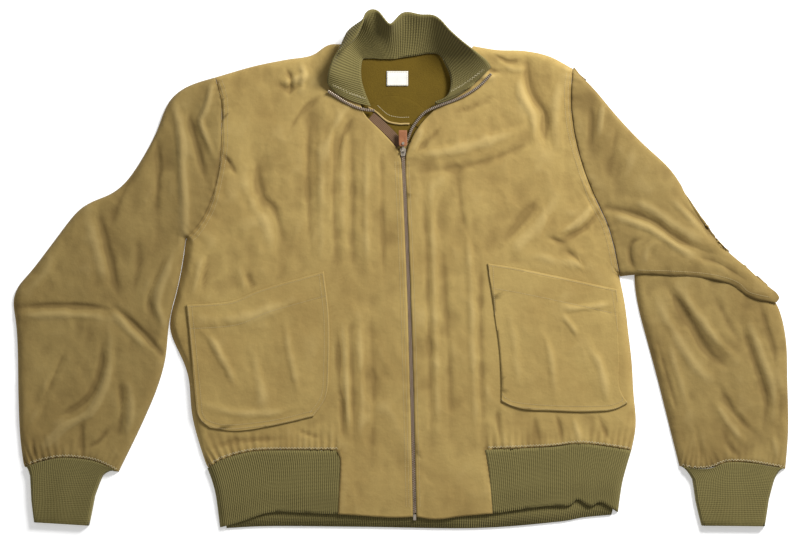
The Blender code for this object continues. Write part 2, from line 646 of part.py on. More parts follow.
def front_edges(side, sign):
    """The sampled edges of one front. sign is -1 for the wearer's right and 1 for the left."""
    outer_up, armhole, seam = side["side"][::-1], side["armhole"][::-1], side["band_seam"]
    side_line = smooth_line(outer_up, even(SIDE_CELLS))
    armhole_shares = with_rolls(length_of(armhole), ARMHOLE_CELLS, at_start=True, at_end=True)
    armhole_line = smooth_line(armhole, armhole_shares)
    seam_line = smooth_line(seam, with_rolls(length_of(seam), SEAM_CELLS, at_start=True))
    upwards = np.array(ZIP_LINE[::-1], float)
    zip_x = np.interp(SEAM_LEVEL, upwards[:, 1], upwards[:, 0])
    zip_foot = np.array([zip_x + sign * ZIP_HALF_SLOT, SEAM_LEVEL])
    placket_top = along([seam_line[-1], zip_foot], even(PLACKET_CELLS))
    zip_points = [tuple(zip_foot)]
    zip_points += [(x + sign * ZIP_HALF_SLOT, y) for x, y in upwards if y > SEAM_LEVEL]
    zip_points[-1] = side["neck"][0]
    zip_up = smooth_line(zip_points, even(ZIP_CELLS))
    rows_left = len(side_line) + len(armhole_line) - 1 - len(zip_up)
    neck_line = smooth_line(side["neck"], with_rolls(length_of(side["neck"]), rows_left - 3, at_end=True))
    across = len(seam_line) + len(placket_top) - 2
    shoulder_line = smooth_line(side["shoulder"][::-1], even(across))
    join = smooth_line(side["knit_join"], even(PLACKET_ROWS))
    hem = smooth_line(side["hem"], even(PLACKET_CELLS))
    zip_down = smooth_line([tuple(zip_foot), side["hem"][-1]], even(PLACKET_ROWS))
    return {"outer": chain(side_line, armhole_line), "armhole": armhole_line, "side": side_line,
            "seam": seam_line, "bottom": chain(seam_line, placket_top), "placket_top": placket_top,
            "inner": chain(zip_up, neck_line), "top": shoulder_line, "join": join[::-1], "hem": hem,
            "zip_down": zip_down[::-1]}


def add_front(name, edges, rolled, finish):
    main = patch(edges["outer"], edges["inner"], edges["bottom"], edges["top"])
    placket = patch(edges["join"], edges["zip_down"], edges["hem"], edges["placket_top"])
    raised = with_gathers(main, GATHER_ROWS, GATHER_RISE)
    raised[:, SEAM_CELLS + 2:, 2] = 0.0
    return add_shell(name, [plain(placket), raised], rolled, finish)


def knit_point(point, rolled, wave, level):
    outer, inner = shell_points(point, 0.0, rolled, level, floor_base, KNIT)
    angle = roll_angle(nearest_on(rolled, point)[0], ROLL)
    return (*outer[:2], outer[2] + RIB_RISE * wave * math.sin(angle)), inner


def add_front_band(name, side, edges, rolled, finish):
    """Ribbed end of the waistband on one front, from its seam to its hem."""
    inner_marks_step = 4
    length = length_of(edges["seam"])
    ribs = int(length / RIB_PITCH)
    spans = ribs * 2 - (ribs * 2) % inner_marks_step
    marks = [0, 1, 2, 3] + list(range(inner_marks_step, spans + 1, inner_marks_step))
    across = even(spans)
    towards_hem = -1.0 if edges["seam"][-1][0] > edges["seam"][0][0] else 1.0
    seam = shifted(along(edges["seam"], across), towards_hem * SEAM)
    seam[-1] = seam[-2] + (seam[-1] - seam[-2]) * 0.9
    hem = smooth_line(side["band_hem"], across)
    stations = []
    for share in (0.0, 0.3, 0.6, 0.85, 1.0):
        line = seam * (1 - share) + hem * share
        outside = np.interp(share, even(len(edges["band_side"]) - 1), edges["band_side"][:, 0])
        inside = np.interp(share, even(PLACKET_ROWS), edges["join"][::-1][:, 0]) + towards_hem * SEAM * 1.5
        start, end = line[0, 0], line[-1, 0]
        line[:, 0] = outside + (line[:, 0] - start) * (inside - outside) / (end - start)
        stations.append(line)
    outer, inner = [], []
    for line in stations:
        pairs = [knit_point(point, rolled, -1.0 if number % 2 else 1.0, body_top)
                 for number, point in enumerate(line)]
        outer.append([pair[0] for pair in pairs])
        inner.append([pairs[mark][1] for mark in marks])
    return add_ribbed_wall(name, outer, inner, marks, finish)


def add_back_band(finish):
    columns = 2 * int(length_of(BACK_BAND_HEM) / RIB_PITCH)
    marks = list(range(0, columns, 10)) + [columns]
    seam = shifted(along(smooth_line(BACK_BAND_SEAM, even(BACK_BAND_SPANS)), even(columns)), -SEAM)
    hem = smooth_line(BACK_BAND_HEM, even(columns))
    outer, inner = [], []
    for share in (0.0, 0.75, 1.0):
        line = seam * (1 - share) + hem * share
        outer.append([(*point, KNIT - RIB_RISE + RIB_RISE * (-1.0 if number % 2 else 1.0))
                      for number, point in enumerate(line)])
        inner.append([(*line[mark], 0.0) for mark in marks])
    return add_ribbed_wall("band_back", outer, inner, marks, finish)


def add_cuff(name, sections, seam, finish):
    """A flattened knit tube, open at both ends: ribs on top, plain inside and where it rests.

    Its upper end follows the curved seam, and the curve fades towards the wrist.
    """
    seam_line = smooth_line(seam, even(CUFF_SPANS * 4))

    def on_seam(point, share, run):
        level = np.interp(point[0], seam_line[:, 0], seam_line[:, 1]) - 2 * SEAM
        chord = np.interp(point[0], [seam[0][0], seam[-1][0]], [seam[0][1], seam[-1][1]])
        return point + np.array([0.0, (level - chord) * (1 - share) ** 2 * min(run / CUFF_ROLL, 1.0)])

    per_span = 2 * CUFF_RIBS_PER_SPAN
    top_columns = CUFF_SPANS * per_span
    under_spans = 4
    marks = list(range(0, top_columns + 1, per_span)) + [top_columns + step for step in range(1, under_spans)]
    outer, inner = [], []
    shares = np.linspace(0, 1, len(sections))
    for share in (0.0, 0.25, 0.5, 0.75, 1.0):
        start = np.array([np.interp(share, shares, [row["start"][axis] for row in sections]) for axis in (0, 1)])
        end = np.array([np.interp(share, shares, [row["end"][axis] for row in sections]) for axis in (0, 1)])
        width = float(np.linalg.norm(end - start))
        way = (end - start) / width
        ring, hollow = [], []
        for number in range(top_columns + 1):
            run = width * number / top_columns
            angle = roll_angle(min(run, width - run), CUFF_ROLL)
            wave = RIB_RISE * math.sin(angle) * (-1.0 if number % 2 else 1.0)
            place = on_seam(start + way * run, share, min(run, width - run))
            ring.append((*place, CUFF_HEIGHT * math.sin(angle) + wave))
            if number % per_span == 0:
                held = min(max(run, KNIT), width - KNIT)
                lift = roll_angle(min(run, width - run), CUFF_ROLL)
                place = on_seam(start + way * held, share, min(run, width - run))
                hollow.append((*place, KNIT + 0.4 + (CUFF_HEIGHT - 2 * KNIT - 0.8) * math.sin(lift)))
        for step in range(1, under_spans):
            run = width * (1 - step / under_spans)
            place = on_seam(start + way * run, share, CUFF_ROLL)
            ring.append((*place, 0.0))
            hollow.append((*place, KNIT))
        outer.append(ring)
        inner.append(hollow)
    return add_ribbed_wall(name, outer, inner, marks, finish, closed=True)


def add_sleeve_tops(right, left, right_top_edge, left_top_edge, finish):
    armhole = shifted(right["armhole"][::-1], -SEAM)
    shoulder_end = len(ROLL_ROWS) - 1
    beside_body = shifted(right["side"][::-1][:BESIDE_BODY_CELLS + 1], -2 * SEAM)
    free = smooth_line([tuple(beside_body[-1])] + RIGHT_SLEEVE["free_inner"], even(FREE_INNER_CELLS))
    silhouette = chain(beside_body, free)[::-1]
    inner = chain(silhouette, armhole[shoulder_end:][::-1])
    outer = right_top_edge[-len(inner):][::-1].copy()
    outer[-1] = armhole[0]
    across = with_rolls(USUAL_WIDTH, SLEEVE_CELLS, at_start=True, at_end=True)
    cuff = smooth_line(RIGHT_SLEEVE["cuff_seam"], across)
    rolled = [right_top_edge, silhouette]
    grid = with_gathers(ruled(outer, inner, across, cuff), GATHER_ROWS, GATHER_RISE)
    add_shell("sleeve_right_top", [grid], rolled, finish)

    seam = shifted(left["armhole"], -2 * SEAM)
    across_left = even(len(seam) - 1)
    outer = left_top_edge[:LEFT_ROWS + 1][::-1].copy()
    lower = smooth_line(LEFT_SLEEVE["lower"], even(LEFT_ROWS))
    elbow = smooth_line(LEFT_SLEEVE["elbow"][::-1], across_left)
    outer[0], lower[0] = seam[-1], seam[0]
    outer[-1], lower[-1] = elbow[-1], elbow[0]
    rolled_upper = [left_top_edge, elbow, lower]
    grid = plain(patch(lower, outer, seam, elbow))
    add_shell("sleeve_left_upper", [grid], rolled_upper, finish, top=upper_arm_top, base=upper_arm_base)

    across_fore = with_rolls(USUAL_WIDTH, SLEEVE_CELLS, at_start=True, at_end=True)
    fore_edge = smooth_line(LEFT_SLEEVE["fore_inner"], even(FOREARM_ROWS))[::-1]
    fore_outer = smooth_line(LEFT_SLEEVE["fore_outer"], even(FOREARM_ROWS))[::-1]
    cuff = smooth_line(LEFT_SLEEVE["cuff_seam"], across_fore)
    hidden = smooth_line(LEFT_SLEEVE["hidden"], across_fore)
    grid = with_gathers(patch(fore_edge, fore_outer, cuff, hidden), GATHER_ROWS, GATHER_RISE)
    rolled_fore = [fore_edge[::-1], fore_outer]
    add_shell("sleeve_left_forearm", [grid], rolled_fore, finish, top=forearm_top, base=forearm_base)
    return silhouette


def add_under_layers(right, left, right_inner, finish):
    """The back and the undersides of the sleeves, flat on the floor."""
    half = SEAM / 2
    band_seam = smooth_line(BACK_BAND_SEAM, even(BACK_BAND_SPANS))
    neck = smooth_line(BACK_NECK, even(8))
    back = [(right["side"][::-1], TUCK), (band_seam, SEAM), (left["side"], TUCK), (left["armhole"], half),
            (left["top"], TUCK), (neck, SEAM), (right["top"][::-1], TUCK), (right["armhole"][::-1], half)]
    add_flat_piece("back_panel", back, 0.0, CLOTH, finish)
    outer = smooth_line(RIGHT_SLEEVE["outer"], even(20))
    cuff = smooth_line(RIGHT_SLEEVE["cuff_seam"], even(4))
    under = [(outer, TUCK), (cuff, SEAM), (right_inner, TUCK + 2), (right["armhole"], 2 * SEAM)]
    add_flat_piece("sleeve_right_under", under, 0.0, CLOTH, finish)
    outer = smooth_line(LEFT_SLEEVE["outer"], even(12))
    edge_down = smooth_line(LEFT_SLEEVE["fore_outer"][1:], even(10))
    inner = smooth_line(LEFT_SLEEVE["fore_inner"][1:], even(10))
    cuff = smooth_line(LEFT_SLEEVE["cuff_seam"], even(4))
    armpit = np.array([left["armhole"][0], LEFT_SLEEVE["lower"][1]], float)
    under = [(left["armhole"][::-1], 2 * SEAM), (armpit, TUCK), (inner, TUCK), (cuff, SEAM),
             (edge_down[::-1], TUCK), (outer[::-1], TUCK)]
    add_flat_piece("sleeve_left_under", under, 0.0, CLOTH, finish)


def add_pocket(name, pocket, rolled, finish):
    columns, rows = even(POCKET_COLUMNS), even(POCKET_ROWS)
    grid = patch(smooth_line(pocket["outer"], rows), smooth_line(pocket["inner"], rows),
                 smooth_line(pocket["bottom"], columns), smooth_line(pocket["top"], columns))
    grid_points = grid.reshape(-1, 2)
    rims = [grid[0], grid[-1], grid[:, 0], grid[:, -1]]
    points_out, points_in = [], []
    for point in grid_points:
        outer, _ = shell_points(point, 0.0, rolled, body_top, floor_base, CLOTH)
        distance, way = nearest_on(rolled, point)
        angle = roll_angle(distance, ROLL)
        normal = np.array([*(-way * math.cos(angle)), math.sin(angle)])
        from_rim, _ = nearest_on(rims, point)
        puff = max(fold_rise(POCKET_FOLDS, point), 0.0) * eased(from_rim, 0.0, 20.0)
        points_in.append(np.array(outer) + normal * POCKET_LIFT)
        points_out.append(np.array(outer) + normal * (POCKET_LIFT + POCKET_CLOTH + puff))
    index = np.arange(len(grid_points)).reshape(grid.shape[:2])
    cells = [(index[row, number], index[row, number + 1], index[row + 1, number + 1], index[row + 1, number])
             for row in range(POCKET_ROWS) for number in range(POCKET_COLUMNS)]
    count = len(grid_points)
    faces = cells + [tuple(corner + count for corner in reversed(cell)) for cell in cells]
    faces += [(end, start, start + count, end + count) for start, end in open_edges(cells)]
    return add_solid(name, points_out + points_in, faces, finish)


def collar_surface():
    """The collar's middle surface as a grid: stations along it, shares from foot to rim across."""
    table = {name: np.array(column(COLLAR, name), float) for name in ("foot", "waist", "rim")}
    columns = 2 * int(length_of(table["waist"]) / RIB_PITCH)
    columns -= columns % 4
    lines = {name: smooth_line_in_space(points, columns) for name, points in table.items()}
    surface = []
    for share in even(COLLAR_ROWS):
        foot, waist, rim = (1 - share) * (1 - 2 * share), 4 * share * (1 - share), share * (2 * share - 1)
        surface.append(lines["foot"] * foot + lines["waist"] * waist + lines["rim"] * rim)
    return np.array(surface), columns


def smooth_line_in_space(points, columns):
    """Points on a smooth line through a table's rows, evenly spread over the rows' numbers."""
    rows = np.arange(len(points), dtype=float)
    wanted = np.linspace(0.0, rows[-1], columns + 1)
    spans = np.clip(wanted.astype(int), 0, len(points) - 2)
    share = (wanted - spans)[:, None]
    slopes = np.gradient(points, rows, axis=0)
    return (points[spans] * (2 * share**3 - 3 * share**2 + 1) + slopes[spans] * (share**3 - 2 * share**2 + share)
            + points[spans + 1] * (3 * share**2 - 2 * share**3) + slopes[spans + 1] * (share**3 - share**2))


def add_collar(finish):
    surface, columns = collar_surface()
    across = np.gradient(surface, axis=0)
    around = np.gradient(surface, axis=1)
    normals = np.cross(around, across)
    normals /= np.linalg.norm(normals, axis=2)[:, :, None]
    if normals[:, :, 2].mean() < 0:
        normals = -normals
    waves = np.array([-1.0 if number % 2 else 1.0 for number in range(columns + 1)])[None, :, None]
    upper = surface + normals * (KNIT / 2 + RIB_RISE * (waves - 1) / 2)
    lower = surface - normals * KNIT / 2
    marks = list(range(0, columns + 1, 4))
    return add_ribbed_wall("collar", [list(row) for row in upper], [list(row[marks]) for row in lower], marks,
                           finish)


def add_neck_pieces(lining, label):
    back_lining = smooth_closed(LINING_EDGE)
    add_plate("back_lining", back_lining, CLOTH + SEAM, CLOTH + SEAM + LINING, lining)
    piped = smooth_line(FLAP_PIPED_EDGE, even(10))
    top_edge = smooth_line([tuple(piped[-1])] + FLAP_TOP_EDGE + [tuple(piped[0])], even(8))
    flap_bottom = CLOTH + LINING + 2 * SEAM
    flap = [tuple(point) for point in chain(piped, top_edge)[:-1]]
    add_plate("wind_flap", flap, flap_bottom, flap_bottom + LINING, lining)
    half_wide, half_long = LABEL_SIZE[0] / 2, LABEL_SIZE[1] / 2
    corners = [(LABEL_PLACE[0] + x, LABEL_PLACE[1] + y)
               for x, y in ((-half_wide, -half_long), (half_wide, -half_long), (half_wide, half_long),
                            (-half_wide, half_long))]
    add_plate("size_label", corners, flap_bottom, flap_bottom + LABEL_SIZE[2], label)


def smooth_closed(points):
    """A closed smooth outline through a few points."""
    count = len(points)
    looped = points[-2:] + points + points[:3]
    line = smooth_line_in_space(np.array(looped, float), 3 * (len(looped) - 1))
    return [tuple(point) for point in line[6:6 + 3 * count]]


def add_zip(tape, metal):
    """Closed chain on its tape, the two open halves and the box at the lower end."""
    line = smooth_line(ZIP_LINE, even(14))
    sides = left_normals(line)
    points = []
    for place, side in zip(line, sides):
        level = body_top(place) - CLOTH - SEAM
        for offset, height in ((-TAPE_HALF_WIDTH, -TAPE), (TAPE_HALF_WIDTH, -TAPE), (TAPE_HALF_WIDTH, 0.0),
                               (CHAIN_HALF_WIDTH, 0.0), (CHAIN_HALF_WIDTH, CHAIN_RISE),
                               (-CHAIN_HALF_WIDTH, CHAIN_RISE), (-CHAIN_HALF_WIDTH, 0.0), (-TAPE_HALF_WIDTH, 0.0)):
            points.append((*(place + side * offset), level + height))
    add_rings("zip_closed", points, 8, tape)
    add_strip("zip_left", ZIP_LEFT_PATH, OPEN_CHAIN["width"], OPEN_CHAIN["height"], metal, 18)
    add_strip("zip_right", ZIP_RIGHT_PATH, OPEN_CHAIN["width"], OPEN_CHAIN["height"], metal, 10)
    add_strip("zip_tape_right", TAPE_RIGHT_PATH, OPEN_TAPE["width"], OPEN_TAPE["height"], tape, 8)


def add_pull(metal, leather):
    """Slider with its ears and pin, and the link, leather tab and rivet that swing on the pin."""
    x, y = SLIDER_PLACE
    plate, ear = SLIDER_PLATE, SLIDER_EAR
    half, corner = plate["length"] / 2, plate["corner"]
    outline = [(x - plate["foot"] / 2, y - half), (x + plate["foot"] / 2, y - half),
               (x + plate["head"] / 2, y + half - 2 * corner), (x + plate["head"] / 2 - corner, y + half),
               (x - plate["head"] / 2 + corner, y + half), (x - plate["head"] / 2, y + half - 2 * corner)]
    slider = add_plate("zip_slider", outline, plate["bottom"], plate["top"], metal)
    for name, side in (("ear_right", -1), ("ear_left", 1)):
        middle = x + side * (ear["apart"] + ear["thick"]) / 2
        wide, long = ear["thick"] / 2, ear["length"] / 2
        outline = [(middle - wide, HINGE_Y - long), (middle + wide, HINGE_Y - long),
                   (middle + wide, HINGE_Y + long), (middle - wide, HINGE_Y + long)]
        join(slider, add_plate(name, outline, plate["top"] - 0.4, ear["top"], metal), "UNION")
    join(slider, add_round("pin", x, PIN_RADIUS, ear["apart"] + ear["thick"]), "UNION")
    link = add_round("zip_link", x, LINK["eye"], LINK["thick"])
    arm = add_plate("arm", [(x - LINK["thick"] / 2, HINGE_Y), (x + LINK["thick"] / 2, HINGE_Y),
                            (x + LINK["thick"] / 2, HINGE_Y + LINK["length"]),
                            (x - LINK["thick"] / 2, HINGE_Y + LINK["length"])],
                    HINGE_Z - LINK["height"] / 2, HINGE_Z + LINK["height"] / 2, metal)
    join(link, arm, "UNION")
    join(link, add_round("hole", x, LINK["hole"], LINK["thick"] * 2), "DIFFERENCE")
    link.data.materials.append(metal)
    start = HINGE_Y + LEATHER["from_hinge"]
    bottom = HINGE_Z + LINK["height"] / 2 + SEAM
    half_wide = LEATHER["width"] / 2
    tab_outline = [(x - half_wide + 1.5, start), (x + half_wide - 1.5, start), (x + half_wide, start + 2),
                   (x + half_wide - 0.6, start + LEATHER["length"]),
                   (x - half_wide - 0.6, start + LEATHER["length"]), (x - half_wide, start + 2)]
    tab = add_plate("leather_tab", tab_outline, bottom, bottom + LEATHER["thick"], leather)
    rivet_bottom = bottom + LEATHER["thick"] + SEAM
    rivet = add_plate("tab_rivet", circle((x, HINGE_Y + RIVET["from_hinge"]), RIVET["radius"]),
                      rivet_bottom, rivet_bottom + RIVET["rise"], metal)
    hinge = bpy.data.objects.new("pull_hinge", None)
    hinge.location = (x * MM, HINGE_Y * MM, HINGE_Z * MM)
    bpy.context.scene.collection.objects.link(hinge)
    bpy.context.view_layer.update()
    for piece in (link, tab, rivet):
        parent_to(piece, hinge)


def add_round(name, x, radius, length):
    """A cylinder along x on the hinge's line."""
    bpy.ops.mesh.primitive_cylinder_add(vertices=ROUND_SIDES, radius=radius * MM, depth=length * MM,
                                        location=(x * MM, HINGE_Y * MM, HINGE_Z * MM),
                                        rotation=(0, math.pi / 2, 0))
    made = bpy.context.object
    made.name = name
    return made


def join(piece, other, operation):
    """Add or cut another shape, which then goes."""
    change = piece.modifiers.new("shape", "BOOLEAN")
    change.operation = operation
    change.object = other
    bpy.context.view_layer.objects.active = piece
    bpy.ops.object.modifier_apply(modifier=change.name)
    bpy.data.objects.remove(other)


def add_box_end(metal):
    x, y = ZIP_LINE[-1]
    half = BOX_END["width"] / 2
    top = y - 2.0
    outline = [(x - half, top - BOX_END["length"]), (x + half, top - BOX_END["length"]), (x + half, top),
               (x - half, top)]
    bottom = KNIT + SEAM
    add_plate("zip_box", outline, bottom, bottom + BOX_END["height"], metal)


def main():
    for existing in list(bpy.data.objects):
        bpy.data.objects.remove(existing)
    cloth = material("cloth", (0.42, 0.30, 0.12), 0.85)
    knit = material("knit", (0.20, 0.18, 0.07), 0.9)
    lining = material("lining", (0.17, 0.11, 0.012), 0.95)
    tape = material("tape", (0.16, 0.09, 0.05), 0.85)
    metal = material("zip_metal", (0.42, 0.38, 0.32), 0.4, metallic=0.9)
    leather = material("leather", (0.36, 0.15, 0.07), 0.55)
    label = material("label", (0.85, 0.85, 0.82), 0.8)

    right, left = front_edges(RIGHT, -1), front_edges(LEFT, 1)
    right["band_side"] = smooth_line(RIGHT["band_side"], even(BAND_SIDE_CELLS))
    left["band_side"] = smooth_line(LEFT["band_side"], even(BAND_SIDE_CELLS))
    right_top_edge = chain(right["top"][::-1], smooth_line(RIGHT_SLEEVE["outer"], even(RIGHT_ROWS)))
    left_top_edge = chain(smooth_line(LEFT_SLEEVE["outer"], even(LEFT_ROWS))[::-1], left["top"])
    right_rolled = [right_top_edge, right["side"][::-1], right["band_side"]]
    left_rolled = [left["band_side"][::-1], left["side"], left_top_edge]
    add_front("front_right", right, right_rolled, cloth)
    add_front("front_left", left, left_rolled, cloth)
    add_front_band("band_front_right", RIGHT, right, right_rolled, knit)
    add_front_band("band_front_left", LEFT, left, left_rolled, knit)
    add_back_band(knit)
    right_inner = add_sleeve_tops(right, left, right_top_edge, left_top_edge, cloth)
    add_under_layers(right, left, right_inner, cloth)
    add_cuff("cuff_right", CUFF_RIGHT, RIGHT_SLEEVE["cuff_seam"], knit)
    add_cuff("cuff_left", CUFF_LEFT, LEFT_SLEEVE["cuff_seam"], knit)
    add_pocket("pocket_right", POCKET_RIGHT, right_rolled, cloth)
    add_pocket("pocket_left", POCKET_LEFT, left_rolled, cloth)
    add_collar(knit)
    add_neck_pieces(lining, label)
    add_zip(tape, metal)
    add_pull(metal, leather)
    add_box_end(metal)


main()
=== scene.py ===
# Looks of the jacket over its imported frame. Tables are in millimetres, as seen from above.
import json
import math

import bmesh
import bpy
import numpy as np
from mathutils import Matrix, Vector, noise
from mathutils.bvhtree import BVHTree

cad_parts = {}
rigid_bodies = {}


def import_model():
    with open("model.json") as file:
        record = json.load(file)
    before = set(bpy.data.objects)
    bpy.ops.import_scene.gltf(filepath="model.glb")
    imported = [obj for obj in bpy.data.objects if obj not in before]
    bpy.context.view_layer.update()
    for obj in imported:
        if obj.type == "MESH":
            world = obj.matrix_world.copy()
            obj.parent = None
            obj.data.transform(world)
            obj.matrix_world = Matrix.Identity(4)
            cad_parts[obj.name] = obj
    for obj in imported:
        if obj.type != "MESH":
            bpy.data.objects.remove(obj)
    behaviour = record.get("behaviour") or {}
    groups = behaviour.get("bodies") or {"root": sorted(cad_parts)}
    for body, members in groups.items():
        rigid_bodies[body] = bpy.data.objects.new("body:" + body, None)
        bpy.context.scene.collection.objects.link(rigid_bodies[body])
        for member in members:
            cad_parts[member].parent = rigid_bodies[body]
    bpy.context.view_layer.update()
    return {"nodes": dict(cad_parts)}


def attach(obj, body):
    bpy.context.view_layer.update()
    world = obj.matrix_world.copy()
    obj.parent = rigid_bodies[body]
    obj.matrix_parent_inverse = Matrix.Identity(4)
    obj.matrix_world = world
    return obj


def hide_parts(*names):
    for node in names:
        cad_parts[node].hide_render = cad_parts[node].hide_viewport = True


for existing in list(bpy.data.objects):
    bpy.data.objects.remove(existing)
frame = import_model()
mm = 0.001
print("frame loaded:", len(frame["nodes"]), "nodes")


# Shader maths: a socket that can be added, multiplied and so on, and one method for any other node
class Shade:
    def __init__(self, tree, link=None):
        self.tree, self.link = tree, link

    def make(self, kind, settings=None, inputs=None, output=0):
        made = self.tree.nodes.new("ShaderNode" + kind)
        for name, value in (settings or {}).items():
            if name == "stops":
                for number, (place, colour) in enumerate(value):
                    stops = made.color_ramp.elements
                    stop = stops[number] if number < 2 else stops.new(place)
                    stop.position, stop.color = place, (*colour, 1)
            else:
                setattr(made, name, value)
        for name, value in (inputs or {}).items():
            if isinstance(value, Shade):
                self.tree.links.new(value.link, made.inputs[name])
            else:
                made.inputs[name].default_value = value
        return Shade(self.tree, made.outputs[output])

    def maths(self, operation, first, second):
        return self.make("Math", {"operation": operation}, {0: first, 1: second})

    def __add__(self, other):
        return self.maths("ADD", self, other)

    __radd__ = __add__

    def __sub__(self, other):
        return self.maths("SUBTRACT", self, other)

    def __rsub__(self, other):
        return self.maths("SUBTRACT", other, self)

    def __mul__(self, other):
        return self.maths("MULTIPLY", self, other)

    __rmul__ = __mul__

    def blend(self, low, high):
        # colour low where this is 0 and high where it is 1
        return self.make("Mix", {"data_type": "RGBA"}, {"Factor": self, 6: low, 7: high}, output=2)


def newMaterial(name, roughness, metallic=0.0, sheen=0.0):
    made = bpy.data.materials.new(name)
    made.use_nodes = True
    shader = made.node_tree.nodes["Principled BSDF"]
    shader.inputs["Roughness"].default_value = roughness
    shader.inputs["Metallic"].default_value = metallic
    shader.inputs["Sheen Weight"].default_value = sheen
    shader.inputs["Specular IOR Level"].default_value = 0.5 if metallic else 0.2
    return made, shader, Shade(made.node_tree)


def plug(material, shader, name, value):
    material.node_tree.links.new(value.link, shader.inputs[name])


def noiseAt(start, where, scale, detail=4.0, rough=0.55):
    return start.make("TexNoise", {}, {"Vector": where, "Scale": scale, "Detail": detail, "Roughness": rough})


def bumpOf(start, height, strength, distance):
    return start.make("Bump", {}, {"Height": height, "Strength": strength, "Distance": distance})


# Cotton colours: light and dark give the cloth's patchy tone; the trough colour is painted shade for crease troughs,
# and the ridge colour after it is painted highlight for crease ridges
cottonLook = {"light": (0.40, 0.285, 0.095, 1), "dark": (0.30, 0.20, 0.062, 1), "trough": (0.17, 0.105, 0.03, 1),
              "ridgeHighlight": (0.50, 0.37, 0.145, 1), "roughness": 0.86}


def cottonMaterial(name, look):
    made, shader, start = newMaterial(name, look["roughness"], sheen=0.04)
    where = start.make("TexCoord", output="Object")
    broad = noiseAt(start, where, 9, 6, 0.62)
    small = noiseAt(start, where, 120, 5, 0.7)
    patchy = broad.make("ValToRGB", {"stops": [(0.36, (0, 0, 0)), (0.64, (1, 1, 1))]}, {"Fac": broad})
    colour = (patchy * 0.65 + small * 0.35).blend(look["dark"], look["light"])
    # painted shade and highlight: the colour goes darker in the crease troughs and lighter on the crease ridges,
    # following the crease height
    height = start.make("Attribute", {"attribute_name": "crease"}, output="Fac")
    low = start.make("MapRange", {}, {"Value": height, "From Min": -0.15, "From Max": -1.6, "To Max": 0.6})
    high = start.make("MapRange", {}, {"Value": height, "From Min": 0.35, "From Max": 2.0, "To Max": 0.5})
    colour = low.blend(colour, look["trough"])
    colour = high.blend(colour, look["ridgeHighlight"])
    plug(made, shader, "Base Color", colour)
    turned = start.make("Mapping", {}, {"Vector": where, "Rotation": (0, 0, math.radians(32))})
    twill = start.make("TexWave", {"bands_direction": "X"}, {"Vector": turned, "Scale": 230, "Distortion": 1.2,
                                                             "Detail": 2.0, "Detail Scale": 3.0}, output="Fac")
    rumple = noiseAt(start, where, 60, 6, 0.6)
    plug(made, shader, "Normal", bumpOf(start, twill * 0.16 + rumple * 1.0 + small * 0.5, 0.55, 0.0011))
    return made


knitLook = {"light": (0.235, 0.195, 0.068, 1), "dark": (0.075, 0.062, 0.02, 1), "roughness": 0.92}


def knitMaterial(name, look):
    made, shader, start = newMaterial(name, look["roughness"], sheen=0.06)
    where = start.make("TexCoord", output="Object")
    fuzz = noiseAt(start, where, 480, 4, 0.7)
    broad = noiseAt(start, where, 16, 4, 0.6)
    rib = start.make("Attribute", {"attribute_name": "rib"}, output="Fac")
    # painted shade and highlight: the rib grooves are coloured darker and the rib tops lighter, following the rib
    # relief; the noise adds the yarn's own uneven tone
    colour = (rib * 0.62 + broad * 0.28 + fuzz * 0.2).blend(look["dark"], look["light"])
    plug(made, shader, "Base Color", colour)
    rows = start.make("Attribute", {"attribute_name": "row"}, output="Fac")
    loops = start.maths("SINE", rows * 6.2832, 0.0)
    plug(made, shader, "Normal", bumpOf(start, loops * 0.35 + fuzz * 1.0, 0.6, 0.0006))
    return made


liningLook = {"light": (0.155, 0.098, 0.008, 1), "dark": (0.07, 0.042, 0.003, 1), "roughness": 0.95}


def liningMaterial(name, look):
    made, shader, start = newMaterial(name, look["roughness"], sheen=0.05)
    where = start.make("TexCoord", output="Object")
    nap = noiseAt(start, where, 420, 5, 0.75)
    broad = noiseAt(start, where, 30, 4, 0.6)
    plug(made, shader, "Base Color", (nap * 0.6 + broad * 0.5).blend(look["dark"], look["light"]))
    plug(made, shader, "Normal", bumpOf(start, nap * 1.0, 0.7, 0.0009))
    return made


def tapeMaterial(name):
    made, shader, start = newMaterial(name, 0.85)
    where = start.make("TexCoord", output="Object")
    weave = start.make("TexWave", {"bands_direction": "DIAGONAL"}, {"Vector": where, "Scale": 210}, output="Fac")
    wear = noiseAt(start, where, 90)
    plug(made, shader, "Base Color", (weave * 0.4 + wear * 0.6).blend((0.09, 0.05, 0.028, 1), (0.21, 0.125, 0.07, 1)))
    plug(made, shader, "Normal", bumpOf(start, weave, 0.5, 0.0004))
    return made


def metalMaterial(name):
    made, shader, start = newMaterial(name, 0.42, metallic=0.85)
    where = start.make("TexCoord", output="Object")
    wear = noiseAt(start, where, 260, 5, 0.65)
    plug(made, shader, "Base Color", wear.blend((0.30, 0.24, 0.17, 1), (0.62, 0.56, 0.47, 1)))
    plug(made, shader, "Roughness", wear * 0.35 + 0.28)
    plug(made, shader, "Normal", bumpOf(start, wear, 0.3, 0.0002))
    return made


def leatherMaterial(name):
    made, shader, start = newMaterial(name, 0.5)
    where = start.make("TexCoord", output="Object")
    grain = start.make("TexVoronoi", {"feature": "DISTANCE_TO_EDGE"}, {"Vector": where, "Scale": 900})
    wear = noiseAt(start, where, 110, 5, 0.6)
    plug(made, shader, "Base Color", wear.blend((0.17, 0.06, 0.024, 1), (0.42, 0.18, 0.08, 1)))
    plug(made, shader, "Roughness", wear * 0.3 + 0.35)
    plug(made, shader, "Normal", bumpOf(start, grain * 2.0 + wear * 0.4, 0.4, 0.0004))
    return made


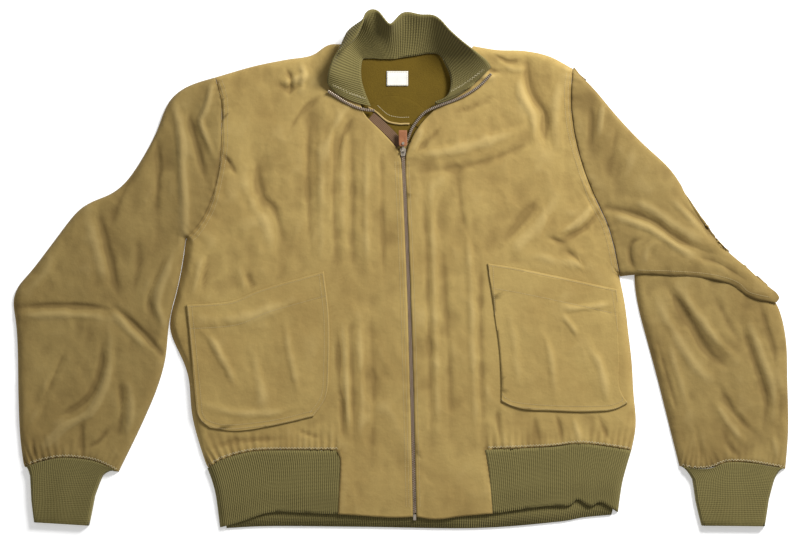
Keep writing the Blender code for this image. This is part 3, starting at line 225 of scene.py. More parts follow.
def labelMaterial(name):
    made, shader, start = newMaterial(name, 0.7)
    where = start.make("TexCoord", output="Object")
    weave = start.make("TexWave", {"bands_direction": "Y"}, {"Vector": where, "Scale": 420}, output="Fac")
    wear = noiseAt(start, where, 70)
    plug(made, shader, "Base Color", (weave * 0.3 + wear * 0.5).blend((0.66, 0.65, 0.60, 1), (0.90, 0.89, 0.86, 1)))
    plug(made, shader, "Normal", bumpOf(start, weave, 0.3, 0.0003))
    return made


def threadMaterial(name, dark, light):
    made, shader, start = newMaterial(name, 0.75)
    where = start.make("TexCoord", output="Object")
    wear = noiseAt(start, where, 300)
    plug(made, shader, "Base Color", wear.blend(dark, light))
    plug(made, shader, "Normal", bumpOf(start, wear, 0.4, 0.0003))
    return made


cotton = cottonMaterial("washedCotton", cottonLook)
sleeveShadeFactor = 0.72    # painted shade: the sleeve cloth colour is darkened by this factor to stand in for the dimmer light that falls on the sleeves
shadedSleeveLook = {name: tuple(part * sleeveShadeFactor for part in value[:3]) + (1,) if name != "roughness" else value
              for name, value in cottonLook.items()}
sleeveCotton = cottonMaterial("sleeveCotton", shadedSleeveLook)
pipingCotton = cottonMaterial("pipingCotton", {**cottonLook, "light": (0.50, 0.37, 0.16, 1)})
knit = knitMaterial("ribKnit", knitLook)
lining = liningMaterial("brushedLining", liningLook)
tape = tapeMaterial("zipTape")
metal = metalMaterial("dulledMetal")
leather = leatherMaterial("tabLeather")
labelWhite = labelMaterial("labelWeave")
thread = threadMaterial("khakiThread", (0.30, 0.22, 0.10, 1), (0.52, 0.42, 0.22, 1))
paleThread = threadMaterial("paleThread", (0.42, 0.36, 0.20, 1), (0.68, 0.60, 0.40, 1))
print("materials made")


# Lines and folds
def evenly(curve, count):
    steps = np.linalg.norm(np.diff(curve[:, :2], axis=0), axis=1)
    run = np.concatenate(([0], np.cumsum(steps)))
    wanted = np.linspace(0, run[-1], count + 1)
    return np.stack([np.interp(wanted, run, curve[:, axis]) for axis in range(curve.shape[1])], axis=1)


def smoothLine(points, count):
    points = np.array(points, float)
    ends = np.vstack([2 * points[0] - points[1], points, 2 * points[-1] - points[-2]])
    curve = []
    for number in range(len(points) - 1):
        a, b, c, d = ends[number:number + 4]
        for share in np.linspace(0, 1, 16, endpoint=False):
            curve.append(b + 0.5 * ((c - a) * share + (2 * a - 5 * b + 4 * c - d) * share**2
                                    + (3 * b - a - 3 * c + d) * share**3))
    curve.append(points[-1])
    return evenly(np.array(curve), count)


def lengthOf(line):
    return float(np.linalg.norm(np.diff(np.array(line, float)[:, :2], axis=0), axis=1).sum())


def sideways(line):
    # unit vectors to the left of the way the line runs
    run = np.gradient(np.array(line, float)[:, :2], axis=0)
    run /= np.linalg.norm(run, axis=1)[:, None]
    return np.stack([-run[:, 1], run[:, 0]], axis=1)


def movedAside(line, distance):
    moved = np.array(line, float)
    moved[:, :2] += sideways(line) * distance
    return moved


def nearLine(line, plan):
    # distance from the line, how far along it that is, and the line's length
    line = np.array(line, float)[:, :2]
    best, along, done = np.full(len(plan), 1e9), np.zeros(len(plan)), 0.0
    for start, end in zip(line[:-1], line[1:]):
        run = end - start
        length = float(np.linalg.norm(run))
        part = np.clip(((plan - start) @ run) / length**2, 0, 1)
        gap = np.linalg.norm(plan - start - part[:, None] * run, axis=1)
        closer = gap < best
        best[closer], along[closer] = gap[closer], done + (part * length)[closer]
        done += length
    return best, along, done


def insideOf(outline, plan):
    inside = np.zeros(len(plan), bool)
    x, y = plan[:, 0], plan[:, 1]
    for (x1, y1), (x2, y2) in zip(outline, outline[1:] + outline[:1]):
        if y1 == y2:
            continue
        crosses = ((y1 > y) != (y2 > y)) & (x < (x2 - x1) * (y - y1) / (y2 - y1) + x1)
        inside ^= crosses
    return inside


creaseDepth = 1.3    # all creases by this much


def foldHeight(folds, plan):
    total = np.zeros(len(plan))
    for rise, width, line in folds:
        rise *= creaseDepth
        gap, along, length = nearLine(smoothLine(line, 14), plan)
        near = gap < width
        across = 1 - gap[near] / width
        shape = across**1.6 if rise < 0 else across**2 * (3 - 2 * across)
        fade = np.clip(np.minimum(along[near], length - along[near]) / (0.25 * length), 0, 1)
        total[near] += rise * shape * (0.2 + 0.8 * fade)
    return total


def puckerHeight(seams, plan):
    total = np.zeros(len(plan))
    for seam in seams:
        gap, along, _ = nearLine(smoothLine(seam["line"], 40), plan)
        wave = np.sin(2 * math.pi * along / seam["pitch"] + 1.9 * np.sin(along / 21.0))
        uneven = 0.65 + 0.35 * np.sin(along / 33.0 + 1.3)
        total += seam["rise"] * wave * uneven * np.exp(-(gap / seam["reach"])**1.5)
        total -= seam["groove"] * np.exp(-(gap / 3.2)**2)
    return total


def unevenness(plan, turn=0.0):
    return np.array([1.5 * noise.noise(Vector((x / 38 + turn, y / 46, 3.1)))
                     - 1.3 * abs(noise.noise(Vector((x / 24, y / 34 + turn, 5.2)))) + 0.25
                     + 0.45 * noise.noise(Vector((x / 14, y / 17 + turn, 7.7)))
                     + 0.2 * noise.noise(Vector((x / 7.5, y / 7.5, 1.3 + turn))) for x, y in plan])


# Edges of the jacket as seen from above
edges = {
    "armholeRight": [(-279, 289), (-269, 255), (-269, 219), (-270, 177), (-285, 103), (-305, 64), (-323, 46)],
    "armholeLeft": [(257, 302), (253, 265), (259, 203), (285, 118), (310, 66), (323, 12), (327, -10)],
    "seamRight": [(-291, -297), (-271, -285), (-248, -277), (-218, -271), (-179, -270), (-92, -270)],
    "seamLeft": [(345, -271), (333, -268), (299, -263), (264, -260), (221, -265), (126, -269)],
    "joinRight": [(-92, -270), (-91, -290), (-93, -322), (-95, -366)],
    "joinLeft": [(126, -269), (131, -297), (134, -331), (137, -365)],
    "cuffSeamRight": [(-566, -296), (-541, -287), (-510, -281), (-477, -283), (-452, -289), (-424, -303)],
    "cuffSeamLeft": [(417, -294), (440, -298), (464, -297), (488, -288), (524, -289), (576, -298)],
    "zip": [(2.5, 172), (10, 0), (16, -195), (20, -364)],
    "neckRight": [(0, 172), (-10, 187), (-24, 202), (-40, 218), (-57, 233)],
    "neckLeft": [(5, 172), (13, 190), (20, 207), (32, 222), (45, 236), (62, 250)],
    "lowerArm": [(350, -7), (412, -9), (452, -12), (479, -17), (501, -25), (519, -40), (561, -50)],
}
pockets = {
    "pocket_right": {
        "top": [(-322, -52), (-282, -50), (-251, -46), (-219, -32), (-191, -23), (-116, -2)],
        "outer": [(-306, -216), (-312, -151), (-322, -52)],
        "inner": [(-131, -219), (-112, -190), (-108, -140), (-108, -70), (-116, -2)],
        "bottom": [(-306, -216), (-296, -231), (-261, -240), (-191, -233), (-131, -219)],
    },
    "pocket_left": {
        "top": [(129, 10), (168, 4), (204, -3), (242, -11), (283, -20), (323, -29)],
        "outer": [(339, -199), (339, -150), (332, -90), (323, -29)],
        "inner": [(150, -197), (139, -178), (135, -120), (132, -60), (129, 10)],
        "bottom": [(150, -197), (170, -206), (224, -211), (289, -212), (321, -209), (339, -199)],
    },
}

# Creases: rise, width, line. Below nought is a trough.
bodyCreases = [
    (2.6, 11, [(-344, 255), (-332, 216), (-327.5, 144), (-324.5, 85.5), (-326, 30)]),
    (-2.6, 10, [(-320, 238.5), (-308, 190), (-293, 132)]),
    (2.4, 8, [(-281, 285), (-293, 240), (-300.5, 219), (-279.5, 166.5)]),
    (-1.9, 9, [(-366.5, 195), (-363.5, 156), (-366.5, 85.5)]),
    (-2.1, 10, [(-453.5, 91.5), (-440, 31.5), (-423.5, -39)]),
    (1.5, 12, [(-470, 84), (-456, 30), (-441, -32)]),
    (-2.6, 8, [(-579.5, -55.5), (-520, -53), (-477.5, -54), (-434, -58.5)]),
    (1.9, 9, [(-575, -69), (-520, -67), (-477, -68), (-440, -72)]),
    (-2.8, 9, [(-434, -51), (-407, -75), (-384.5, -97.5), (-354.5, -130.5)]),
    (1.8, 10, [(-430, -66), (-408, -90), (-380, -118)]),
    (1.8, 10, [(-340, 30), (-365, -45), (-350, -90)]),
    (-1.6, 8, [(-352, 20), (-378, -40), (-366, -84)]),
    (2.6, 10, [(-435.5, -102), (-438.5, -151.5), (-452, -190.5), (-468.5, -216), (-504.5, -235.5), (-540.5, -268.5)]),
    (-2.2, 9, [(-448, -106), (-452, -152), (-466, -186), (-486, -204), (-520, -222)]),
    (-1.9, 8, [(-422, -163.5), (-419, -207), (-423.5, -249)]),
    (1.5, 9, [(-408, -170), (-405, -210), (-412, -250)]),
    (-1.6, 7, [(-477.5, -225), (-479, -255), (-477.5, -280)]),
    (-1.4, 7, [(-438.5, -237), (-452, -255), (-468.5, -265.5)]),
    (-1.5, 7, [(-552.5, -246), (-551, -266), (-552.5, -285)]),
    (1.2, 9, [(-528, -160), (-540, -200), (-556, -232)]),
    (-1.4, 9, [(-500, -110), (-520, -160), (-545, -210)]),
    (1.3, 12, [(-520, 20), (-535, -5), (-560, -34)]),
    (-1.2, 10, [(-400, 150), (-425, 96), (-436, 62)]),
    (-1.1, 8, [(-396, 60), (-392, 10), (-402, -34)]),
    (2.0, 9, [(-180.5, 288), (-168.5, 282), (-137, 292.5)]),
    (-1.4, 7, [(-186, 278), (-166, 270), (-140, 281)]),
    (-2.2, 8, [(-269, 174), (-258, 160), (-246.5, 142.5)]),
    (-1.9, 11, [(-218, 165), (-209, 112.5), (-189.5, 90), (-177.5, 45)]),
    (1.3, 12, [(-236, 150), (-226, 105), (-204, 72), (-192, 30)]),
    (-1.3, 10, [(-137, 235), (-140, 140), (-136, 15)]),
    (1.1, 10, [(-119, 228), (-121, 130), (-118, 20)]),
    (-1.2, 9, [(-99.5, 225), (-101, 120), (-98, 10)]),
    (1.0, 9, [(-86, 215), (-87, 110), (-85, 0)]),
    (-1.2, 8, [(-74, 205), (-73, 100), (-72, 0)]),
    (1.0, 8, [(-52, 205), (-53, 100), (-50, -20)]),
    (-1.1, 7, [(-30, 190), (-29, 90), (-25, -30)]),
    (-2.2, 7, [(-98, -85.5), (-93, -130), (-90.5, -171), (-87.5, -250.5)]),
    (1.8, 7, [(-88, -80), (-83, -160), (-79, -250)]),
    (-1.7, 7, [(-77, -70), (-74, -160), (-70, -262)]),
    (1.2, 8, [(-64, -60), (-60, -160), (-58, -262)]),
    (-1.0, 8, [(-48, -40), (-42, -170), (-44, -300)]),
    (-1.6, 8, [(-231.5, -3), (-226, -16), (-216.5, -30)]),
    (1.2, 8, [(-246, 6), (-240, -12), (-234, -34)]),
    (-1.4, 8, [(-287, -267), (-262, -260), (-242, -256), (-174.5, -253)]),
    (-1.5, 7, [(-156.5, -240), (-140, -246), (-122, -250.5)]),
    (1.2, 8, [(-300, 20), (-306, -10), (-312, -40)]),
    (-1.2, 8, [(-288, 30), (-293, 0), (-296, -38)]),
    (-2.6, 11, [(188.5, 310.5), (193, 270), (206, 246), (214, 235.5), (215.5, 189)]),
    (1.8, 10, [(178, 300), (180, 262), (196, 232), (201, 190)]),
    (1.4, 12, [(228, 292), (232, 262), (231, 220), (236, 176)]),
    (1.9, 13, [(16, 172.5), (60, 176), (120, 190), (178, 210)]),
    (-1.4, 12, [(30, 150), (80, 152), (140, 168), (190, 190)]),
    (-2.2, 17, [(148, 37.5), (178, 72), (208, 112.5)]),
    (1.5, 14, [(170, 30), (204, 66), (232, 108)]),
    (2.4, 9, [(236, 54), (268, 73.5), (284.5, 94.5)]),
    (-2.3, 7, [(246, 46), (276, 64), (296, 86)]),
    (-1.6, 8, [(220, 49.5), (234, 43), (245.5, 40.5)]),
    (-1.6, 8, [(245.5, 30), (262, 18), (275.5, 12)]),
    (1.2, 10, [(190, 24), (230, 14), (290, 4)]),
    (-1.2, 9, [(60, 60), (66, -40), (72, -150), (74, -250)]),
    (1.2, 9, [(44, 140), (48, 20), (52, -120), (56, -255)]),
    (-1.1, 8, [(34, 130), (38, 20), (42, -120), (46, -290)]),
    (1.3, 9, [(98, 90), (104, -20), (108, -150), (112, -255)]),
    (-1.3, 8, [(118, 20), (119, -80), (121, -190), (124, -255)]),
    (-1.2, 10, [(84, 150), (92, 80), (110, 30)]),
    (-1.6, 7, [(230.5, -216), (236, -232), (241, -256)]),
    (-1.5, 7, [(143.5, -205), (145, -230), (148, -256)]),
    (-1.3, 7, [(199, -218), (201, -236), (203, -256)]),
    (1.2, 7, [(258, -218), (262, -236), (268, -254)]),
    (-1.3, 7, [(296, -216), (302, -236), (312, -256)]),
    (-2.8, 10, [(299.5, 96), (337, 87), (377.5, 72), (412, 46.5), (460, 25.5)]),
    (2.3, 10, [(310, 82), (342, 73), (380, 58), (414, 34), (446, 14)]),
    (1.6, 11, [(330, 106), (372, 92), (410, 66), (448, 44)]),
    (-2.4, 9, [(284.5, 246), (284, 214), (283, 186)]),
    (2.2, 8, [(302.5, 250.5), (299, 226), (295, 202.5)]),
    (-1.4, 9, [(322, 216), (318, 180), (310, 146)]),
    (1.3, 11, [(350, 190), (342, 158), (326, 128)]),
    (-1.7, 9, [(419.5, 99), (442, 79.5), (472, 43.5)]),
    (1.3, 9, [(402, 108), (426, 86), (452, 58)]),
    (-2.2, 8, [(358, 48), (343, 37.5), (343, 16.5), (349, 2)]),
    (1.4, 9, [(384, 44), (368, 30), (366, 8)]),
    (-1.3, 9, [(430, 22), (470, 12), (514, -14)]),
    (-2.0, 7, [(118, 318), (132, 300), (150, 296)]),
    (1.9, 7, [(110, 300), (126, 288), (142, 292)]),
    (-1.7, 6, [(140, 322), (160, 312), (178, 314)]),
    (1.3, 8, [(150, 306), (172, 300), (190, 304)]),
    (-2.2, 7, [(-172, 300), (-166, 286), (-168, 262)]),
    (1.8, 8, [(-150, 308), (-146, 292), (-152, 268)]),
    (-1.5, 9, [(-118, 262), (-150, 236), (-172, 200)]),
    (-1.7, 8, [(-70, 232), (-90, 196), (-96, 156)]),
    (1.4, 9, [(-80, 246), (-106, 204), (-114, 166)]),
    (1.6, 8, [(12, 172), (26, 196), (32, 220)]),
    (-1.6, 9, [(22, 176), (42, 196), (60, 214)]),
    (-1.5, 9, [(76, 236), (110, 246), (140, 262)]),
]
forearmCreases = [
    (-2.8, 11, [(395.5, -19.5), (425.5, -67.5), (458.5, -121.5), (488.5, -145.5)]),
    (2.0, 11, [(412, -22), (442, -66), (474, -108), (504, -136)]),
    (1.5, 11, [(378, -36), (404, -86), (436, -140), (466, -166)]),
    (-2.2, 9, [(506.5, -73.5), (528, -134), (545.5, -193.5), (542.5, -240)]),
    (1.7, 10, [(518, -66), (540, -130), (558, -190), (557, -240)]),
    (-2.1, 9, [(476.5, -175.5), (500.5, -216), (530.5, -246)]),
    (1.7, 9, [(466, -190), (490, -230), (518, -262)]),
    (-1.8, 9, [(536.5, -49.5), (557.5, -121.5), (559, -145.5)]),
    (-1.5, 8, [(482, -240), (490, -262), (506, -280)]),
    (-1.4, 7, [(440, -236), (446, -260), (452, -284)]),
    (-1.4, 8, [(384, -110), (398, -160), (414, -214)]),
    (1.3, 9, [(400, -110), (416, -162), (432, -216)]),
    (-1.2, 9, [(470, -40), (490, -80), (510, -110)]),
    (1.2, 8, [(556, -244), (560, -264), (562, -284)]),
]
pocketCreases = [
    (1.3, 14, [(-300, -75), (-230, -70), (-150, -40)]),
    (1.4, 10, [(-292, -92), (-270, -130), (-246, -176)]),
    (1.0, 9, [(-176, -70), (-166, -130), (-152, -196)]),
    (0.9, 12, [(-230, -110), (-214, -160), (-206, -214)]),
    (1.2, 10, [(-300, -200), (-250, -214), (-190, -214), (-150, -204)]),
    (1.6, 9, [(240, -58), (280, -56), (318, -50)]),
    (1.5, 8, [(240, -66), (250, -78), (264, -98)]),
    (1.1, 9, [(210, -90), (224, -130), (230, -190)]),
    (0.9, 11, [(160, -60), (170, -120), (176, -180)]),
    (1.1, 10, [(280, -110), (300, -150), (308, -196)]),
]
seamPuckers = [
    {"line": edges["armholeRight"], "pitch": 13, "rise": 0.45, "reach": 11, "groove": 1.2},
    {"line": edges["armholeLeft"], "pitch": 13, "rise": 0.45, "reach": 11, "groove": 1.2},
    {"line": edges["seamRight"], "pitch": 9.5, "rise": 1.15, "reach": 24, "groove": 1.0},
    {"line": edges["seamLeft"], "pitch": 9.5, "rise": 1.05, "reach": 22, "groove": 1.0},
    {"line": edges["joinRight"], "pitch": 9, "rise": 0.3, "reach": 7, "groove": 0.8},
    {"line": edges["joinLeft"], "pitch": 9, "rise": 0.3, "reach": 7, "groove": 0.8},
    {"line": edges["cuffSeamRight"], "pitch": 9, "rise": 1.1, "reach": 22, "groove": 1.0},
    {"line": edges["zip"], "pitch": 11, "rise": 0.3, "reach": 10, "groove": 0.0},
]
forearmPuckers = [{"line": edges["cuffSeamLeft"], "pitch": 9, "rise": 1.1, "reach": 22, "groove": 1.0}]


def bodyDetail(plan):
    height = foldHeight(bodyCreases, plan) + puckerHeight(seamPuckers, plan) + unevenness(plan)
    for pocket in pockets.values():
        # calm under a pocket, so that nothing comes through it
        gap = np.min([nearLine(smoothLine(line, 20), plan)[0] for line in pocket.values()], axis=0)
        height *= np.where(insideOf(pocketOutline(pocket), plan), 0, np.clip(gap / 9, 0, 1))
    return height


def pocketOutline(pocket):
    # corners counter-clockwise
    bottom = list(pocket["bottom"]) if pocket["bottom"][0][0] < pocket["bottom"][-1][0] else pocket["bottom"][::-1]
    top = pocket["top"][::-1] if pocket["top"][0][0] < pocket["top"][-1][0] else list(pocket["top"])
    right = pocket["inner"] if pocket["inner"][0][0] > pocket["outer"][0][0] else pocket["outer"]
    left = pocket["outer"] if right is pocket["inner"] else pocket["inner"]
    return bottom + right[1:] + top[1:] + left[::-1][1:-1]


def forearmDetail(plan):
    return foldHeight(forearmCreases, plan) + puckerHeight(forearmPuckers, plan) + unevenness(plan, 5.0)


def pocketDetail(plan):
    height = np.maximum(foldHeight(pocketCreases, plan) + 0.8 * unevenness(plan, 9.0), -0.25)
    for pocket in pockets.values():
        gap = np.min([nearLine(smoothLine(pocket[name], 20), plan)[0] for name in ("outer", "inner", "bottom")], axis=0)
        fromTop = nearLine(smoothLine(pocket["top"], 20), plan)[0]
        near = np.minimum(gap, fromTop) < 60
        calm = np.clip(gap / 16, 0, 1) * np.clip(fromTop / 22, 0.15, 1)
        height = np.where(near, height * calm, height)
        height += np.where(near, 0.5 * np.exp(-((gap - 1.5) / 2.2)**2) - 0.35 * np.exp(-((fromTop - 36) / 2.0)**2), 0)
    return height


# Cloth
def dress(piece, node, body, material):
    piece.data.materials.clear()
    piece.data.materials.append(material)
    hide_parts(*node)
    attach(piece, body)
    return piece


def soloSelect(piece):
    bpy.ops.object.select_all(action="DESELECT")
    bpy.context.view_layer.objects.active = piece
    piece.select_set(True)


def applyModifier(piece, kind, **settings):
    soloSelect(piece)
    change = piece.modifiers.new(kind.lower(), kind)
    for name, value in settings.items():
        setattr(change, name, value)
    bpy.ops.object.modifier_apply(modifier=change.name)


def pieceFrom(name, shape):
    mesh = bpy.data.meshes.new(name)
    shape.to_mesh(mesh)
    shape.free()
    made = bpy.data.objects.new(name, mesh)
    bpy.context.scene.collection.objects.link(made)
    return made


def upperSheet(name, node, levels, steepest=0.03):
    # the faces of a CAD shell that look upwards, as a finer open sheet
    shape = bmesh.new()
    shape.from_mesh(frame["nodes"][node].data)
    bmesh.ops.remove_doubles(shape, verts=shape.verts, dist=0.00001)
    shape.normal_update()
    bmesh.ops.delete(shape, geom=[face for face in shape.faces if face.normal.z < steepest], context="FACES")
    bmesh.ops.join_triangles(shape, faces=shape.faces, angle_face_threshold=math.radians(50),
                             angle_shape_threshold=math.radians(60))
    made = pieceFrom(name, shape)
    applyModifier(made, "SUBSURF", levels=levels, render_levels=levels, boundary_smooth="PRESERVE_CORNERS")
    return made


def verticesOf(mesh):
    places = np.empty(len(mesh.vertices) * 3)
    mesh.vertices.foreach_get("co", places)
    return places.reshape(-1, 3)


def normalsOf(mesh):
    ways = np.empty(len(mesh.vertices) * 3)
    mesh.vertices.foreach_get("normal", ways)
    return ways.reshape(-1, 3)


def raiseSheet(piece, detail, thickness):
    mesh = piece.data
    places, ways = verticesOf(mesh), normalsOf(mesh)
    plan = places[:, :2] / mm
    steep = np.clip((ways[:, 2] - 0.35) / 0.4, 0, 1)
    height = detail(plan) * steep
    places[:, 2] += height * mm
    mesh.vertices.foreach_set("co", places.ravel())
    # the crease height is kept for the cotton colour, which paints shade in the troughs and highlight on the ridges
    crease = mesh.attributes.new("crease", "FLOAT", "POINT")
    crease.data.foreach_set("value", height)
    mesh.update()
    applyModifier(piece, "SOLIDIFY", thickness=thickness * mm, offset=-1.0, use_rim=True, use_even_offset=False)
    keepOffFloor(piece)
    piece.data.shade_smooth()


def keepOffFloor(piece):
    places = verticesOf(piece.data)
    places[:, 2] = np.maximum(places[:, 2], 0.02 * mm)
    piece.data.vertices.foreach_set("co", places.ravel())
    piece.data.update()


clothPieces = {
    "frontRight": {"node": "front_right", "flat": (0.36, 0.66), "area": 0.188, "detail": bodyDetail,
                   "rests": ["back_panel"]},
    "frontLeft": {"node": "front_left", "flat": (0.36, 0.66), "area": 0.179, "detail": bodyDetail,
                  "rests": ["back_panel"]},
    "sleeveRight": {"node": "sleeve_right_top", "flat": (0.20, 0.66), "area": 0.102, "detail": bodyDetail,
                    "rests": ["sleeve_right_under"]},
    "sleeveLeftUpper": {"node": "sleeve_left_upper", "flat": (0.16, 0.36), "area": 0.042, "detail": bodyDetail,
                        "steepest": 0.3, "rests": ["sleeve_left_under", "sleeveLeftForearm"]},
    "sleeveLeftForearm": {"node": "sleeve_left_forearm", "flat": (0.20, 0.34), "area": 0.059,
                          "detail": forearmDetail, "rests": ["sleeve_left_under"]},
}
clothThickness = 2.3
dressed = {}
for name, facts in clothPieces.items():
    piece = upperSheet(name, facts["node"], 3, facts.get("steepest", 0.03))
    raiseSheet(piece, facts["detail"], clothThickness)
    dress(piece, [facts["node"]], "jacket", sleeveCotton if name.startswith("sleeve") else cotton)
    dressed[name] = piece
    print(name, len(piece.data.polygons), "faces")

for name in ("pocket_right", "pocket_left"):
    piece = upperSheet("pocketRight" if name == "pocket_right" else "pocketLeft", name, 3)
    raiseSheet(piece, pocketDetail, 1.0)
    dress(piece, [name], "jacket", cotton)
    clothPieces[piece.name] = {"flat": (0.21, 0.21), "area": 0.039, "rests": [piece.name.replace("pocket", "front")]}
    dressed[piece.name] = piece


# The flat layers underneath, seen at the edges and from below
def underSheet(name, node, longest=14, depth=3.0, folds=bodyCreases):
    shape = bmesh.new()
    shape.from_mesh(frame["nodes"][node].data)
    bmesh.ops.remove_doubles(shape, verts=shape.verts, dist=0.00001)
    bmesh.ops.dissolve_limit(shape, angle_limit=math.radians(1), verts=shape.verts, edges=shape.edges)
    shape.normal_update()
    rims = [edge for edge in shape.edges if edge.calc_face_angle(0) > 1.2]
    bmesh.ops.bevel(shape, geom=rims, offset=0.2 * depth * mm, segments=2, affect="EDGES", profile=0.6)
    bmesh.ops.triangulate(shape, faces=shape.faces)
    for _ in range(5):
        long = [edge for edge in shape.edges if edge.calc_length() > longest * mm]
        bmesh.ops.subdivide_edges(shape, edges=long, cuts=1)
        bmesh.ops.triangulate(shape, faces=shape.faces)
    made = pieceFrom(name, shape)
    mesh = made.data
    places = verticesOf(mesh)
    crease = foldHeight(folds, places[:, :2] / mm) + unevenness(places[:, :2] / mm, 4.0)
    top = places[:, 2] > places[:, 2].max() - 0.1 * depth * mm
    places[top, 2] -= np.clip(0.1 - 0.04 * crease[top], 0, 0.2) * depth * mm
    mesh.vertices.foreach_set("co", places.ravel())
    # the crease height is kept for the cotton colour, which paints shade in the troughs and highlight on the ridges
    mesh.attributes.new("crease", "FLOAT", "POINT").data.foreach_set("value", crease * 0.5)
    mesh.update()
    mesh.shade_smooth()
    mesh.set_sharp_from_angle(angle=math.radians(60))
    return made


underPieces = {
    "backPanel": {"node": "back_panel", "flat": (0.67, 0.62), "area": 0.357, "rests": []},
    "sleeveRightUnder": {"node": "sleeve_right_under", "flat": (0.20, 0.62), "area": 0.090, "rests": []},
    "sleeveLeftUnder": {"node": "sleeve_left_under", "flat": (0.20, 0.60), "area": 0.081, "rests": []},
}
for name, facts in underPieces.items():
    piece = underSheet(name, facts["node"])
    dress(piece, [facts["node"]], "jacket", sleeveCotton if name.startswith("sleeve") else cotton)
    clothPieces[name] = facts
    dressed[name] = piece
    print(name, len(piece.data.polygons), "faces")


# Rib knit
ribLook = {"pitch": 3.3, "perRib": 4, "rise": 1.0, "thickness": 2.2, "crown": 9.9, "hemTop": 7.6, "hemReach": 34,
           "roll": 12}


def gridPiece(name, grid, ribs, lengthwise, closed=False):
    # a sheet through rows of points, with its ribs raised along its own normals
    rows, columns = grid.shape[:2]
    run = columns if closed else columns - 1
    faces = [(row * columns + number, row * columns + (number + 1) % columns,
              (row + 1) * columns + (number + 1) % columns, (row + 1) * columns + number)
             for row in range(rows - 1) for number in range(run)]
    mesh = bpy.data.meshes.new(name)
    mesh.from_pydata([tuple(point) for point in grid.reshape(-1, 3) * mm], [], faces)
    mesh.update()
    ways = normalsOf(mesh)
    if ways[:, 2].mean() < 0 and not closed:
        mesh.flip_normals()
        ways = normalsOf(mesh)
    places = verticesOf(mesh) + ways * (ribs.reshape(-1, 1) - 1) / 2 * ribLook["rise"] * mm
    mesh.vertices.foreach_set("co", places.ravel())
    # the rib relief is kept for the knit colour, which paints shade in the grooves and highlight on the rib tops
    mesh.attributes.new("rib", "FLOAT", "POINT").data.foreach_set("value", (ribs.ravel() + 1) / 2)
    mesh.attributes.new("row", "FLOAT", "POINT").data.foreach_set("value", lengthwise.ravel())
    mesh.update()
    made = bpy.data.objects.new(name, mesh)
    bpy.context.scene.collection.objects.link(made)
    return made


def finishKnit(piece, node, flat, area, rests, body="jacket"):
    applyModifier(piece, "SOLIDIFY", thickness=ribLook["thickness"] * mm, offset=-1.0, use_even_offset=False)
    keepOffFloor(piece)
    piece.data.shade_smooth()
    dress(piece, [node], body, knit)
    clothPieces[piece.name] = {"flat": flat, "area": area, "rests": rests}
    dressed[piece.name] = piece
    print(piece.name, len(piece.data.polygons), "faces")


def ribWave(columns, length, turn=0.0):
    ribs = max(1, round(length / ribLook["pitch"]))
    wave = np.sin(2 * math.pi * ribs * np.linspace(0, 1, columns) + turn)
    return np.sign(wave) * np.abs(wave)**0.6


bands = {
    "bandRight": {"node": "band_front_right", "seam": edges["seamRight"], "join": edges["joinRight"], "away": -1,
                  "side": [(-291, -297), (-284, -315), (-278, -339), (-272, -386)],
                  "hem": [(-272, -386), (-237, -376), (-195, -363), (-141, -364), (-95, -366)]},
    "bandLeft": {"node": "band_front_left", "seam": edges["seamLeft"], "join": edges["joinLeft"], "away": 1,
                 "side": [(345, -271), (338, -294), (331, -321), (325, -363)],
                 "hem": [(325, -363), (299, -348), (283, -354), (264, -344), (250, -353), (212, -354), (137, -365)]},
}


def makeBand(name, band):
    columns = int(lengthOf(band["seam"]) / ribLook["pitch"]) * ribLook["perRib"]
    seam, hem = smoothLine(band["seam"], columns), smoothLine(band["hem"], columns)
    rowsDown = 18
    side, join = smoothLine(band["side"], rowsDown), smoothLine(band["join"], rowsDown)
    grid = np.zeros((rowsDown + 1, columns + 1, 3))
    for row, share in enumerate(np.linspace(0, 1, rowsDown + 1)):
        line = seam * (1 - share) + hem * share
        line[:, 1] -= 0.3 * (1 - share)
        start, end = line[0, 0], line[-1, 0]
        inside = join[row, 0] + 0.5 * band["away"]
        line[:, 0] = side[row, 0] + (line[:, 0] - start) * (inside - side[row, 0]) / (end - start)
        fromHem = np.clip((1 - share) * 92 / ribLook["hemReach"], 0, 1)
        level = ribLook["hemTop"] + (ribLook["crown"] - ribLook["hemTop"]) * fromHem**2 * (3 - 2 * fromHem)
        roll = np.clip(np.abs(line[:, 0] - side[row, 0]) / ribLook["roll"], 0, 1)
        grid[row, :, :2] = line
        grid[row, :, 2] = level * np.sin(np.arccos(1 - roll)) + 0.25 * np.sin(line[:, 0] / 17 + share * 2)
    ribs = np.tile(ribWave(columns + 1, lengthOf(band["seam"])), (rowsDown + 1, 1))
    steep = np.clip((grid[:, :, 2] - 1) / 5, 0.15, 1)
    lengthwise = np.repeat(np.linspace(0, 46, rowsDown + 1)[:, None], columns + 1, axis=1)
    piece = gridPiece(name, grid, 1 + (ribs - 1) * steep, lengthwise)
    finishKnit(piece, band["node"], (lengthOf(band["seam"]) * mm, 0.095), None, ["band_back"])


for name, band in bands.items():
    makeBand(name, band)

backBand = {"seam": [(-281, -289), (-179, -276), (28, -274), (264, -268), (335, -272)],
            "hem": [(-262, -387), (-195, -384), (-62, -385), (110, -387), (230, -378), (273, -371), (314, -367)]}


